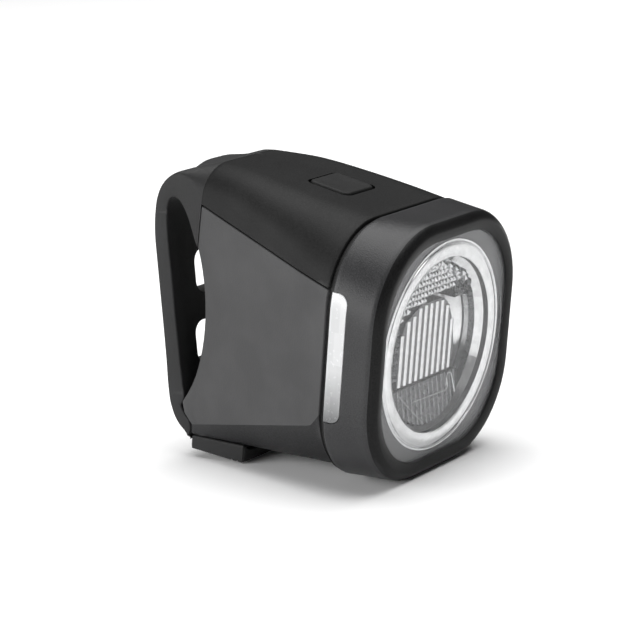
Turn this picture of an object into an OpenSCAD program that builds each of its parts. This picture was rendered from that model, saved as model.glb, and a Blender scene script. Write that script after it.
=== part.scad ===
// Bicycle headlight with a rubber handlebar strap.
// Millimetres. +Z is up, the lamp faces -Y and X runs across the bicycle.
// The origin lies on the handlebar seat, at the height of the beam axis.

/* [Front] */
// Width and height of the square front
front_size = 42; // [40:0.5:46]
// Corner radius of the outline at the seam
seam_corner_r = 12.6; // [11:0.2:14]
// Corner radius of the outline at the front rim
rim_corner_r = 16; // [14:0.2:17]
// Rounding of the front edge of the rim
rim_edge_r = 3; // [2:0.1:3.4]
// Length of the bezel from the seam to its front
bezel_len = 9; // [8.4:0.1:12]
// Width of the rim around the lens
rim_w = 2.7; // [2.4:0.1:3.2]
// Corner radius of the lens
lens_corner_r = 13; // [11:0.2:14]
// Thickness of the lens plate
lens_t = 1.4; // [1:0.1:1.8]
// Depth of the lens plate behind the front of the rim
lens_recess = 0.7; // [0.5:0.1:1]
// Height of the round raised part of the lens
lens_boss_h = 0.4; // [0.2:0.1:0.5]
// Thickness of the lens gasket
gasket_t = 0.6; // [0.4:0.1:0.8]
// Width of the ledge that the lens gasket lies on
ledge_w = 1.1; // [0.9:0.1:1.4]
// Length of a side window along the flank
window_len = 2.9; // [2:0.1:3.6]
// Lower end of a side window
window_low = -9.5; // [-10:0.1:-7]
// Upper end of a side window
window_high = 11.3; // [8:0.1:12]
// Rounding of the front corners of a side window
window_r = 1.8; // [1:0.1:1.9]

/* [Body] */
// Length that the battery leaves free between the handlebar seat and the seam
body_spare = 8.6; // [8:0.1:12]
// Width of the seam groove
groove_w = 0.9; // [0.6:0.1:1.2]
// Depth of the seam groove
groove_d = 0.8; // [0.5:0.1:1]
// Wall thickness of the bezel, housing and cover
wall = 1.8; // [1.6:0.1:2.2]
// Width of the back end of the body and of the strap
rear_w = 24; // [23:0.5:27]
// Where the flanks stop narrowing, behind the seat
taper_end_y = 2; // [1.6:0.1:2.6]
// How far the top rises from the seam to its crest
crest_rise = 2.1; // [1.6:0.1:2.6]
// Distance of the crest in front of the seat
crest_back = 2; // [1:0.5:4]
// How far the top falls again behind the crest
crest_fall = 0.2; // [0.1:0.1:0.6]
// How far the underside drops from the seam to the back end
belly_drop = 1.2; // [0.6:0.1:1.6]
// Width of the upper corner rounding at the back end
rear_top_r = 6; // [5:0.2:7]
// Height of the upper corner rounding at the back end
rear_top_h = 5; // [4:0.2:5.6]
// Lower corner radius at the back end
rear_belly_r = 3; // [2.6:0.1:4]
// Distance of the parting line below the top at the seam
parting_front_drop = 9.7; // [9:0.1:9.8]
// Distance of the parting line's back end below the same level
parting_rear_drop = 4; // [3.4:0.1:4.6]
// Gap of the parting line
parting_gap = 0.2; // [0.1:0.05:0.3]
// Radius of the hollow seat for the handlebar
seat_r = 28; // [26:0.5:32]
// Height of the middle of the seat below the beam axis
seat_drop = 2; // [1:0.2:3]
// Thickness of the rubber saddle pad
pad_t = 1.2; // [0.8:0.1:1.6]
// Width of the rubber saddle pad
pad_w = 18; // [14:0.5:20]
// Height of the rubber saddle pad
pad_h = 20; // [16:0.5:22]

/* [Strap] */
// Thickness of the strap
strap_t = 2; // [1.8:0.1:2.4]
// Distance of the strap's outer face behind the seat at its top
strap_top_y = 11.7; // [11.2:0.1:12]
// Distance of the strap's outer face behind the seat at its lower end
strap_low_y = 5; // [4.6:0.1:5.4]
// Height of the strap's lower end above the underside at the seam
strap_low = 1.6; // [1:0.1:2.2]
// How far the strap bows back between its ends
strap_bow = 0.8; // [0.6:0.1:1.2]
// Width of the upper slot through the strap
slot_w = 12.6; // [8:0.2:13]
// How much wider the lower slot is
slot_grow = 3.2; // [0:0.2:4]
// Height of a slot through the strap
slot_h = 7.6; // [5:0.1:8]
// Height of the middle of the upper slot
slot_z = 3.1; // [2.6:0.1:3.8]
// Distance between the two slots, middle to middle
slot_pitch = 11.7; // [11.2:0.1:12.2]
// Corner radius of the slots
slot_r = 2; // [1:0.1:2.4]
// Distance of the strap's pivot behind the seat
pivot_y = 8.2; // [8:0.1:8.6]
// Distance of the strap's pivot below the top at the seam
pivot_drop = 2; // [1.8:0.1:2.2]
// Width of the raised rib on the strap's arch
rib_w = 10; // [8:0.5:12]
// Height of the rib on top of the arch
rib_top = 0.3; // [0.2:0.1:0.6]
// Height of the rib at the back of the arch
rib_back = 1.6; // [1:0.1:2]
// Radius of the strap's knuckle
knuckle_r = 2.2; // [1.9:0.1:2.3]
// Clearance between a rubber knuckle and its socket
knuckle_gap = 0.3; // [0.2:0.05:0.4]
// Length of the strap tail under the body
tail_len = 9.6; // [9:0.1:11]
// Thickness of the strap tail
tail_t = 2.2; // [2:0.1:2.6]
// Radius of the knuckle of the strap tail
tail_knuckle_r = 0.8; // [0.6:0.05:0.9]
// Depth of the hook below the underside
hook_h = 1.5; // [1:0.1:1.6]
// Width of the hook
hook_w = 4; // [3:0.2:6]
// Length of the hook
hook_len = 1.6; // [1.2:0.1:2]

/* [Button] */
// Width of the power button
button_w = 8.2; // [7:0.2:9]
// Length of the power button
button_len = 7.6; // [7:0.2:8.6]
// Distance of the power button in front of the seat
button_back = 16.6; // [15.6:0.2:17.4]
// Height of the button above the top
button_proud = 0.25; // [0.1:0.05:0.5]
// Gap around the button
button_gap = 0.3; // [0.2:0.05:0.4]
// Travel of the button
button_travel = 0.7; // [0.5:0.05:0.8]

/* [Inside] */
// Room between the battery cell and the flanks at its back end
battery_side_gap = 1.28; // [1.1:0.02:3]
// Length of the battery cell
battery_len = 20.6; // [16:0.2:21]
// Height of the battery cell
battery_h = 12; // [8:0.5:13]
// Thickness of the main board
board_t = 1.6; // [1:0.1:1.6]
// Distance of the main board's upper face below the top at the seam
board_drop = 9; // [8.8:0.1:9.4]
// Depth of the reflector bowl
reflector_depth = 4.9; // [4:0.1:5]
// Number of flutes in the reflector
flute_count = 10; // [6:1:12]
// Distance between the flutes
flute_pitch = 1.4; // [1.2:0.05:1.5]
// Diameter of the case screws
screw_d = 2; // [1.6:0.1:2.2]
// Diameter of the board screws
small_screw_d = 1.6; // [1.2:0.1:1.8]
// Thickness of the heat sink sheet
sink_t = 1.4; // [1:0.1:1.5]

/* [Charging] */
// Distance of the charging socket in front of the seat
usb_back = 15.5; // [15:0.1:16]
// Length of the charging cover
flap_len = 13; // [12:0.2:13.4]
// Height of the charging cover
flap_h = 6.4; // [6:0.1:6.6]
// Thickness of the charging cover
flap_t = 0.9; // [0.8:0.05:1]

/* [Hidden] */
$fn = 48;

// Clearances
slip = 0.1;
fit = 0.2;
eps = 0.01;
far = 60;

// Front layout, from the seam forwards
body_len = battery_len + body_spare;
front_half = front_size / 2;
rear_half = rear_w / 2;
seam_y = -body_len;
bezel_back_y = seam_y - groove_w / 2;
housing_front_y = seam_y + groove_w / 2;
front_y = bezel_back_y - bezel_len;
lens_half = front_half - rim_w;
lens_front_y = front_y + lens_recess;
lens_back_y = lens_front_y + lens_t;
ledge_y = lens_back_y + gasket_t;
ledge_t = 1;
ledge_back_y = ledge_y + ledge_t;
ledge_half = lens_half - ledge_w;
ledge_corner_r = lens_corner_r - ledge_w;
cavity_half = front_half - wall;
cavity_corner_r = seam_corner_r - wall;
edge_steps = 6;
corner_steps = 8;

// Body layout
body_steps = 9;
rear_end_y = pivot_y;
crest_y = -crest_back;
crest_power = 1.5;
parting_front_z = front_half - parting_front_drop;
parting_rear_z = front_half - parting_rear_drop;
crest_z = front_half + crest_rise;
belly_rear_z = -front_half - belly_drop;
bulkhead_t = 1.6;
bulkhead_back_y = housing_front_y + bulkhead_t;
seat_z = -seat_drop;
seat_shell = wall;
root_floor_z = parting_rear_z - 1.5;
low_end_h = 8.6;
low_end_z = low_end_h - front_half;

// Case screws, in the corners of the front
case_screw_inset = 6.8;
case_screw_at = front_half - case_screw_inset;
boss_r = 2.5;
screw_head_r = 1.7;
screw_head_h = 1.2;
case_screw_len = 6;
small_head_r = 1.4;
small_head_h = 1;

// Lamp parts
reflector_t = 1.2;
reflector_rim_r = ledge_half - fit;
reflector_rim_w = 1;
reflector_rim_t = 0.8;
reflector_slope = 6;
reflector_floor_r = reflector_rim_r - reflector_slope;
reflector_front_y = lens_back_y + slip;
reflector_floor_y = reflector_front_y + reflector_depth;
reflector_back_y = reflector_floor_y + reflector_t;
bowl_steps = 6;
bowl_wall = 0.8;
flute_r = 0.75;
flute_low = -6.5;
flute_high = 6.8;
sink_inset = 9.8;
sink_half = front_half - sink_inset;
sink_top_inset = 10;
sink_top = front_half - sink_top_inset;
shelf_half = 8;
shelf_inset = 8.8;
shelf_z = shelf_inset - front_half;
shelf_gap = 1.3;
shelf_front_y = reflector_front_y + shelf_gap;
led_board_t = 1;
led_board_top_z = shelf_z + led_board_t;
led_board_half = 6;
led_board_len = 4.2;
led_board_gap = 0.3;
led_board_front_y = shelf_front_y + led_board_gap;
led_size = 2.8;
led_h = 0.7;
led_dome_r = 1.2;
led_inset = 1.75;
led_y = led_board_front_y + led_inset;
led_screw_x = 4.3;
led_screw_d = 1.2;
led_screw_head_r = 1;
led_screw_head_h = 0.7;
lead_r = 0.45;
lead_x = 1.4;
lead_grip = 0.8;
lead_z = led_board_top_z + lead_r;
window_flange = 0.8;

// Button stack, from the top cover down to the board
board_z = front_half - board_drop;
button_y = -button_back;
button_pad_z = front_half - wall - slip;
pad_margin = 2.6;
seal_t = 0.7;
seal_margin = 2.2;
flange_t = 0.8;
flange_margin = 1.1;
flange_top_z = button_pad_z - seal_t - slip;
flange_low_z = flange_top_z - flange_t;
switch_size = 4.6;
switch_h = 1.8;
plunger_r = 0.9;
plunger_proud = 1.1;
plunger_top_z = board_z + switch_h + plunger_proud;
plunger_low_z = board_z + button_travel + fit;
button_stem_r = 1.6;

// Main board
board_gap = 0.3;
board_front_y = bulkhead_back_y + board_gap;
board_back = 7;
board_rear_y = -board_back;
board_side = 5.6;
board_low_z = board_z - board_t;
board_boss_r = 1.8;
board_boss_x = 8;
boss_front_gap = 2.6;
boss_rear_gap = 1.8;
board_boss_y = [board_front_y + boss_front_gap, board_rear_y - boss_rear_gap];
board_screw_grip = 4.8;
charger_chip = [4.5, 4.5, 2.4];
coil_size = [5, 4, 1];
capacitor_size = [1.2, 1.6, 1.6];
driver_chip = [3.2, 3.5, 1];
storage_coil = [4, 4.8, 1.2];
chip_x = 6.4;
chip_gap = 2;
coil_gap = 1.9;
capacitor_x = 4.4;
capacitor_inset = 1.2;
driver_x = 7.4;
boss_bore = 5;

// Charging socket and its cover
usb_y = -usb_back;
usb_w = 9;
usb_h = 3.2;
usb_len = 7.4;
usb_shell_t = 0.3;
usb_z = board_low_z - usb_h / 2;
usb_mouth_gap = 0.3;
flap_gap = 0.3;
flap_slip = 0.3;
flap_hinge_r = flap_t / 2;
flap_hinge_z = -flap_h / 2 + flap_hinge_r;
plug_len = 7.6;
plug_h = 2;
plug_t = 1.2;

// Battery
battery_back = 5.2;
battery_rear_y = -battery_back;
battery_front_y = battery_rear_y - battery_len;
battery_pad_t = 1;
battery_w = 2 * (flank_half(battery_rear_y) - wall - battery_side_gap);
battery_low_z = belly_z(battery_front_y) + wall + battery_pad_t;
battery_top_z = battery_low_z + battery_h;
battery_lead_x = 2.5;
battery_lead_inset = 1;
battery_lead_y = board_rear_y - battery_lead_inset;
battery_lead_r = 0.5;
battery_pad_half = 7.8;

// Strap root and tail
pivot_z = front_half - pivot_drop;
root_front_y = taper_end_y + slip;
root_steps = 4;
root_edge_r = 0.3;
arch_end_r = 1.2;
arch_drop = 1;
peg_r = 0.9;
peg_len = 2.2;
peg_x = 6;
peg_y = taper_end_y + 1;
band_steps = 8;
knuckle_sink = 0.05;
lip_at = 0.9;
rib_steps = 5;
rib_end = 0.35;
root_rear_y = pivot_y - 0.8;
strap_low_z = strap_low - front_half;
tail_top_z = belly_rear_z - fit;
tail_low_z = tail_top_z - tail_t;
tail_rear_y = taper_end_y - 0.9;
tail_front_y = tail_rear_y - tail_len;
tail_half = rear_half - 0.5;
tail_pivot_y = taper_end_y - 0.9;
tail_pivot_z = tail_top_z - tail_knuckle_r;
tail_slot_front_y = tail_front_y + 3;
tail_slot_rear_y = tail_rear_y - 1.2;
hook_rear_y = tail_slot_rear_y - 0.3;
hook_front_y = hook_rear_y - hook_len;
hook_flange = 1.4;
hook_flange_t = 1;

function lerp(a, b, t) = a + (b - a) * t;
function taper(y) = min(1, (y - seam_y) / (taper_end_y - seam_y));
function flank_half(y) = lerp(front_half, rear_half, taper(y));
function ease(t) = 1 - (1 - t) * (1 - t);
function top_r(y) = lerp(seam_corner_r, rear_top_r, ease(taper(y)));
function top_h(y) = lerp(seam_corner_r, rear_top_h, ease(taper(y)));
function belly_r(y) = lerp(seam_corner_r, rear_belly_r, taper(y));
function belly_z(y) = lerp(-front_half, belly_rear_z, taper(y));
function crest(y) =
    y < crest_y
        ? front_half + crest_rise * pow((y - seam_y) / (crest_y - seam_y), crest_power)
        : crest_z - crest_fall * (1 - cos(90 * min(1, (y - crest_y) / (taper_end_y - crest_y))));
function parting_z(y) = lerp(parting_front_z, parting_rear_z, (y - seam_y) / (taper_end_y - seam_y));

// Outline in X and Z with its own rounding for the upper and lower corners
function corner(cx, cz, rx, rz, a0) =
    [
        for (i = [0 : corner_steps])
            let (a = a0 + 90 * i / corner_steps)
                [cx + rx * cos(a), cz + rz * sin(a)]
    ];
function outline(half, high, low, rt, ht, rb) =
    concat(
        corner(half - rt, high - ht, rt, ht, 0),
        corner(rt - half, high - ht, rt, ht, 90),
        corner(rb - half, low + rb, rb, rb, 180),
        corner(half - rb, low + rb, rb, rb, 270)
    );
function station(y, points) = [for (p = points) [p[0], y, p[1]]];
function body_station(y, inset) =
    station(y, outline(
        flank_half(y) - inset, crest(y) - inset, belly_z(y) + inset,
        top_r(y) - inset, top_h(y) - inset, belly_r(y) - inset
    ));

// Closed solid through outlines with equal point counts, in order of rising Y
module skin(stations) {
    n = len(stations[0]);
    last = len(stations) - 1;
    sides = [
        for (k = [0 : last - 1], i = [0 : n - 1])
            each [
                [k * n + i, k * n + (i + 1) % n, (k + 1) * n + (i + 1) % n],
                [k * n + i, (k + 1) * n + (i + 1) % n, (k + 1) * n + i]
            ]
    ];
    front_cap = [for (i = [n - 1 : -1 : 0]) i];
    rear_cap = [for (i = [0 : n - 1]) last * n + i];
    polyhedron(points = [for (s = stations) each s], faces = concat([front_cap], sides, [rear_cap]));
}

// A flat shape in X and Z, as thick as y0 to y1
module along_y(y0, y1) {
    translate([0, y1, 0])
        rotate([90, 0, 0])
            linear_extrude(y1 - y0)
                children();
}

// A flat shape in Y and Z, as thick as x0 to x1
module along_x(x0, x1) {
    translate([x0, 0, 0])
        rotate([90, 0, 90])
            linear_extrude(x1 - x0)
                children();
}

// A box between two corners
module block(low, high) {
    translate(low)
        cube(high - low);
}

// A cylinder along X through the point y, z
module rod_x(r, half, y, z) {
    translate([-half, y, z])
        rotate([0, 90, 0])
            cylinder(r = r, h = 2 * half);
}

// A cylinder along Y through the point x, z
module rod_y(r, y0, y1, x, z) {
    translate([x, y1, z])
        rotate([90, 0, 0])
            cylinder(r = r, h = y1 - y0);
}

// A cylinder along Z through the point x, y
module rod_z(r, z0, z1, x, y) {
    translate([x, y, z0])
        cylinder(r = r, h = z1 - z0);
}

module rounded_rect(half_x, half_y, r) {
    square([2 * half_x, 2 * (half_y - r)], center = true);
    square([2 * (half_x - r), 2 * half_y], center = true);
    for (sx = [-1, 1], sy = [-1, 1])
        translate([sx * (half_x - r), sy * (half_y - r)])
            circle(r);
}

module at_case_screws(upper) {
    for (sx = [-1, 1])
        translate([sx * case_screw_at, 0, upper ? case_screw_at : -case_screw_at])
            children();
}

// The outside of the bezel, with its rounded rim
module bezel_outside() {
    rim = [
        for (i = [0 : edge_steps])
            let (a = 90 * i / edge_steps, inset = rim_edge_r * (1 - sin(a)))
                station(
                    front_y + rim_edge_r * (1 - cos(a)),
                    outline(
                        front_half - inset, front_half - inset, inset - front_half,
                        rim_corner_r - inset, rim_corner_r - inset, rim_corner_r - inset
                    )
                )
    ];
    back = station(
        bezel_back_y,
        outline(front_half, front_half, -front_half, seam_corner_r, seam_corner_r, seam_corner_r)
    );
    skin(concat(rim, [back]));
}

// The room inside the bezel, behind the ledge
module bezel_cavity(shrink) {
    along_y(ledge_back_y + shrink, bezel_back_y + 1)
        rounded_rect(cavity_half - shrink, cavity_half - shrink, cavity_corner_r);
}

// Side window outline: straight at the seam, rounded corners in front
module window_outline(grow) {
    y0 = bezel_back_y - window_len - grow;
    z0 = window_low - grow;
    z1 = window_high + grow;
    translate([y0 + window_r, z0])
        square([bezel_back_y - y0 - window_r, z1 - z0]);
    translate([y0, z0 + window_r])
        square([bezel_back_y - y0, z1 - z0 - 2 * window_r]);
    for (z = [z0 + window_r, z1 - window_r])
        translate([y0 + window_r, z])
            circle(window_r);
}

module front_bezel() {
    color("#232425")
        difference() {
            union() {
                difference() {
                    bezel_outside();
                    along_y(front_y - 1, ledge_y)
                        rounded_rect(lens_half, lens_half, lens_corner_r);
                    along_y(front_y - 1, ledge_back_y + 1)
                        rounded_rect(ledge_half, ledge_half, ledge_corner_r);
                    bezel_cavity(0);
                }
                for (upper = [false, true])
                    at_case_screws(upper)
                        rod_y(boss_r, ledge_y + eps, bezel_back_y, 0, 0);
            }
            for (upper = [false, true])
                at_case_screws(upper)
                    rod_y(screw_d / 2 + slip / 2, housing_front_y - case_screw_len, bezel_back_y + 1, 0, 0);
            for (x0 = [-far, cavity_half - 1])
                along_x(x0, x0 + far - cavity_half + 1)
                    window_outline(slip);
            along_x(-far, far)
                translate([bezel_back_y - 1, window_low - slip])
                    square([2, window_high - window_low + 2 * slip]);
        }
}

module clear_lens() {
    color("#dfe6ea", 0.45) {
        along_y(lens_front_y, lens_back_y)
            rounded_rect(lens_half - slip, lens_half - slip, lens_corner_r - slip);
        rod_y(lens_half - 0.3, lens_front_y - lens_boss_h, lens_front_y, 0, 0);
    }
}

module lens_gasket() {
    color("#141414")
        along_y(lens_back_y, ledge_y)
            difference() {
                rounded_rect(lens_half - slip, lens_half - slip, lens_corner_r - slip);
                rounded_rect(ledge_half, ledge_half, ledge_corner_r);
            }
}

// Bowl profile: radius, and distance in front of the reflector's back
module bowl_profile() {
    rim_in = reflector_rim_r - reflector_rim_w;
    depth = reflector_back_y - reflector_front_y;
    inner = [
        for (i = [0 : bowl_steps])
            let (a = 90 * i / bowl_steps)
                [
                    lerp(reflector_floor_r, rim_in, sin(a)),
                    reflector_t + reflector_depth * (1 - cos(a))
                ]
    ];
    outer = [
        for (i = [bowl_steps - 1 : -1 : 0])
            let (a = 90 * i / bowl_steps)
                [
                    lerp(reflector_floor_r, rim_in, sin(a)) + bowl_wall * sin(a),
                    reflector_t * (1 - cos(a)) + reflector_depth * (1 - cos(a))
                ]
    ];
    rim = [[reflector_rim_r, depth], [reflector_rim_r, depth - reflector_rim_t]];
    polygon(concat([[0, reflector_t]], inner, rim, outer, [[0, 0]]));
}

module reflector() {
    shelf_room = 0.5;
    color("#c9ccd0")
        difference() {
            union() {
                translate([0, reflector_back_y, 0])
                    rotate([90, 0, 0])
                        rotate_extrude($fn = 96)
                            bowl_profile();
                for (i = [0 : flute_count - 1])
                    translate([(i - (flute_count - 1) / 2) * flute_pitch, reflector_floor_y + 0.2, flute_low])
                        cylinder(r = flute_r, h = flute_high - flute_low, $fn = 24);
            }
            block(
                [-shelf_half - shelf_room, shelf_front_y - shelf_room, shelf_z - sink_t - shelf_room],
                [shelf_half + shelf_room, reflector_back_y + 1, lead_z + lead_r + shelf_room]
            );
        }
}

module heat_sink() {
    notch_half = lead_x + lead_r + 0.8;
    color("#a9adb1")
        difference() {
            union() {
                block(
                    [-sink_half, housing_front_y - sink_t, shelf_z - sink_t],
                    [sink_half, housing_front_y, sink_top]
                );
                block(
                    [-shelf_half, shelf_front_y, shelf_z - sink_t],
                    [shelf_half, housing_front_y - eps, shelf_z]
                );
            }
            block(
                [-notch_half, housing_front_y - sink_t - 1, lead_z - lead_r - fit],
                [notch_half, housing_front_y + 1, lead_z + lead_r + fit]
            );
            for (sx = [-1, 1])
                rod_z(led_screw_d / 2 + slip / 2, shelf_z - sink_t - 1, shelf_z + 1, sx * led_screw_x, led_y);
        }
}

module led_board() {
    color("#e8e8e4")
        difference() {
            block(
                [-led_board_half, led_board_front_y, shelf_z],
                [led_board_half, led_board_front_y + led_board_len, led_board_top_z]
            );
            for (sx = [-1, 1])
                rod_z(led_screw_d / 2 + slip / 2, shelf_z - 1, led_board_top_z + 1, sx * led_screw_x, led_y);
        }
}

module led_emitter() {
    color("#f4e9a8")
        translate([0, led_y, led_board_top_z]) {
            translate([-led_size / 2, -led_size / 2, 0])
                cube([led_size, led_size, led_h]);
            intersection() {
                translate([0, 0, led_h])
                    sphere(led_dome_r);
                translate([-led_size, -led_size, led_h - eps])
                    cube(2 * led_size);
            }
        }
}

module led_board_screws() {
    head_z = led_board_top_z + led_screw_head_h;
    color("#8d9094")
        for (sx = [-1, 1]) {
            rod_z(led_screw_d / 2, shelf_z - sink_t, led_board_top_z, sx * led_screw_x, led_y);
            rod_z(led_screw_head_r, led_board_top_z, head_z, sx * led_screw_x, led_y);
        }
}

// One side window; side is -1 for the left and 1 for the right
module side_window(side) {
    x_in = cavity_half - window_flange;
    color("#e4e9ec", 0.6)
        union() {
            intersection() {
                bezel_outside();
                along_x(side > 0 ? x_in : -far, side > 0 ? far : -x_in)
                    window_outline(0);
            }
            intersection() {
                bezel_cavity(slip);
                along_x(side > 0 ? x_in : slip - cavity_half, side > 0 ? cavity_half - slip : -x_in)
                    window_outline(window_flange);
            }
        }
}

module side_window_left() side_window(-1);

module side_window_right() side_window(1);

module seam_gasket() {
    outer = front_half - groove_d;
    color("#0d0d0d")
        along_y(bezel_back_y, housing_front_y)
            difference() {
                rounded_rect(outer, outer, seam_corner_r - groove_d);
                rounded_rect(outer - wall, outer - wall, seam_corner_r - groove_d - wall);
            }
}

module bezel_screws() {
    color("#7d8084")
        for (upper = [false, true])
            at_case_screws(upper) {
                rod_y(screw_d / 2, housing_front_y - case_screw_len + fit, bulkhead_back_y, 0, 0);
                rod_y(screw_head_r, bulkhead_back_y, bulkhead_back_y + screw_head_h, 0, 0);
            }
}

// The outside of the body from the seam to the strap root
module body_outside() {
    skin(concat(
        [for (i = [0 : body_steps]) body_station(lerp(housing_front_y, taper_end_y, i / body_steps), 0)],
        [body_station(rear_end_y, 0)]
    ));
}

// The room inside the body, between the bulkhead and the plane y1
module body_inside(y1) {
    skin([for (i = [0 : body_steps]) body_station(lerp(bulkhead_back_y, y1, i / body_steps), wall)]);
}

// Everything below the parting line
module lower_room() {
    along_x(-far, far)
        polygon([
            [-far, parting_z(-far)], [taper_end_y, parting_rear_z], [taper_end_y, root_floor_z],
            [far, root_floor_z], [far, -far], [-far, -far]
        ]);
}

// Everything above the parting line, as far back as the strap root
module upper_room() {
    along_x(-far, far)
        polygon([
            [-far, parting_z(-far) + parting_gap], [taper_end_y, parting_rear_z + parting_gap],
            [taper_end_y, far], [-far, far]
        ]);
}

// The hollow that the handlebar lies in, widened by a depth
module seat_hollow(depth) {
    rod_x(seat_r + depth, far, seat_r, seat_z, $fn = 180);
}

// Places its children on the right flank: local X points straight out of the flank
module on_flank() {
    angle = atan((front_half - rear_half) / (taper_end_y - seam_y));
    translate([flank_half(usb_y), usb_y, usb_z])
        rotate([0, 0, angle])
            children();
}

// Slot shape of the charging mouth in Y and Z
module mouth_outline(half_len, half_h) {
    translate([usb_y, usb_z]) {
        square([2 * (half_len - half_h), 2 * half_h], center = true);
        for (s = [-1, 1])
            translate([s * (half_len - half_h), 0])
                circle(half_h);
    }
}

module lower_housing() {
    lead_half = lead_x + lead_r + 1;
    color("#262728")
        difference() {
            intersection() {
                body_outside();
                lower_room();
            }
            seat_hollow(0);
            intersection() {
                seat_hollow(pad_t);
                block([-pad_w / 2, -far, seat_z - pad_h / 2], [pad_w / 2, far, seat_z + pad_h / 2]);
            }
            block([-far, taper_end_y, -far], [far, far, low_end_z]);
            difference() {
                body_inside(taper_end_y - wall);
                seat_hollow(pad_t + seat_shell);
            }
            block(
                [-lead_half, housing_front_y - 1, lead_z - lead_r - 1],
                [lead_half, bulkhead_back_y + 1, lead_z + lead_r + 1]
            );
            at_case_screws(false)
                rod_y(screw_d / 2 + slip / 2, housing_front_y - 1, bulkhead_back_y + 1, 0, 0);
            on_flank()
                block(
                    [-flap_t - flap_slip, -flap_len / 2 - flap_gap, -flap_h / 2 - flap_gap],
                    [far, flap_len / 2 + flap_gap, flap_h / 2 + flap_gap]
                );
            along_x(0, far)
                mouth_outline(usb_w / 2 + usb_mouth_gap, usb_h / 2 + usb_mouth_gap);
            for (sx = [-1, 1])
                rod_z(peg_r + slip / 2, root_floor_z - peg_len - fit, root_floor_z + 1, sx * peg_x, peg_y);
            block(
                [-hook_w / 2 - slip, hook_front_y - slip, belly_rear_z - 1],
                [hook_w / 2 + slip, hook_rear_y + slip, belly_rear_z + wall + 1]
            );
        }
}

module top_cover() {
    opening_x = button_w / 2 + button_gap;
    opening_y = button_len / 2 + button_gap;
    color("#1d1e1f")
        difference() {
            union() {
                difference() {
                    intersection() {
                        body_outside();
                        upper_room();
                    }
                    body_inside(taper_end_y - wall);
                }
                intersection() {
                    body_outside();
                    union() {
                        translate([0, button_y, button_pad_z])
                            linear_extrude(far)
                                rounded_rect(opening_x + pad_margin, opening_y + pad_margin, 1.5);
                        for (sx = [-1, 1], y = board_boss_y)
                            rod_z(board_boss_r, board_z, far, sx * board_boss_x, y);
                    }
                }
            }
            translate([0, button_y, button_pad_z - 1])
                linear_extrude(far)
                    rounded_rect(opening_x, opening_y, 1.2 + button_gap);
            at_case_screws(true)
                rod_y(screw_d / 2 + slip / 2, housing_front_y - 1, bulkhead_back_y + 1, 0, 0);
            for (sx = [-1, 1], y = board_boss_y)
                rod_z(small_screw_d / 2 + slip / 2, board_z - 1, board_z + boss_bore, sx * board_boss_x, y);
        }
}

module power_button() {
    color("#2b2c2d")
        union() {
            intersection() {
                skin([
                    for (i = [0 : 4])
                        body_station(button_y + (i - 2) * button_len / 3, -button_proud)
                ]);
                translate([0, button_y, flange_low_z])
                    linear_extrude(far)
                        rounded_rect(button_w / 2, button_len / 2, 1.2);
            }
            translate([0, button_y, flange_low_z])
                linear_extrude(flange_t)
                    rounded_rect(button_w / 2 + flange_margin, button_len / 2 + flange_margin, 1.2);
            rod_z(button_stem_r, plunger_top_z, flange_low_z + eps, 0, button_y);
        }
}

module button_seal() {
    inner_x = button_w / 2 + button_gap;
    inner_y = button_len / 2 + button_gap;
    color("#3a3b3c")
        translate([0, button_y, button_pad_z - seal_t])
            linear_extrude(seal_t)
                difference() {
                    rounded_rect(inner_x + seal_margin, inner_y + seal_margin, 1.5);
                    rounded_rect(inner_x, inner_y, 1.2);
                }
}

module tact_switch() {
    color("#2f2f31")
        difference() {
            translate([-switch_size / 2, button_y - switch_size / 2, board_z])
                cube([switch_size, switch_size, switch_h]);
            rod_z(plunger_r + slip, board_z + fit, far, 0, button_y);
        }
}

module switch_plunger() {
    color("#b9442e")
        rod_z(plunger_r, plunger_low_z, plunger_top_z, 0, button_y);
}

module main_board() {
    front_x = flank_half(board_front_y) - wall - board_side;
    rear_x = flank_half(board_rear_y) - wall - slip * 2;
    color("#1f5a3a")
        difference() {
            translate([0, 0, board_low_z])
                linear_extrude(board_t)
                    polygon([
                        [-front_x, board_front_y], [front_x, board_front_y],
                        [rear_x - 1, board_rear_y], [1 - rear_x, board_rear_y]
                    ]);
            for (sx = [-1, 1], y = board_boss_y)
                rod_z(small_screw_d / 2 + slip / 2, board_low_z - 1, board_z + 1, sx * board_boss_x, y);
        }
}

// One part on the board: its size, the middle of its place, and its side of the board
module board_part(size, x, y, upper) {
    translate([x - size[0] / 2, y - size[1] / 2, upper ? board_z : board_low_z - size[2]])
        cube(size);
}

module board_components() {
    color("#2a2a2c") {
        board_part(charger_chip, -chip_x, board_boss_y[0] + chip_gap + charger_chip[1] / 2, false);
        board_part(coil_size, -chip_x, board_boss_y[1] - coil_gap - coil_size[1] / 2, false);
        board_part(capacitor_size, -capacitor_x, board_rear_y - capacitor_inset, false);
        board_part(driver_chip, -driver_x, button_y, true);
        board_part(storage_coil, driver_x, button_y, true);
    }
}

module board_screws() {
    color("#8d9094")
        for (sx = [-1, 1], y = board_boss_y) {
            rod_z(small_screw_d / 2, board_low_z, board_z + board_screw_grip, sx * board_boss_x, y);
            rod_z(small_head_r, board_low_z - small_head_h, board_low_z, sx * board_boss_x, y);
        }
}

module usb_socket() {
    x1 = flank_half(usb_y + usb_w / 2) - wall - 0.5;
    x0 = x1 - usb_len;
    color("#b7babd")
        difference() {
            along_x(x0, x1)
                mouth_outline(usb_w / 2, usb_h / 2);
            difference() {
                along_x(x0 + 1, x1 + 1)
                    mouth_outline(usb_w / 2 - usb_shell_t, usb_h / 2 - usb_shell_t);
                block([x0, usb_y - 3.2, usb_z - 0.35], [x1 - 0.8, usb_y + 3.2, usb_z + 0.35]);
            }
        }
}

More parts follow.
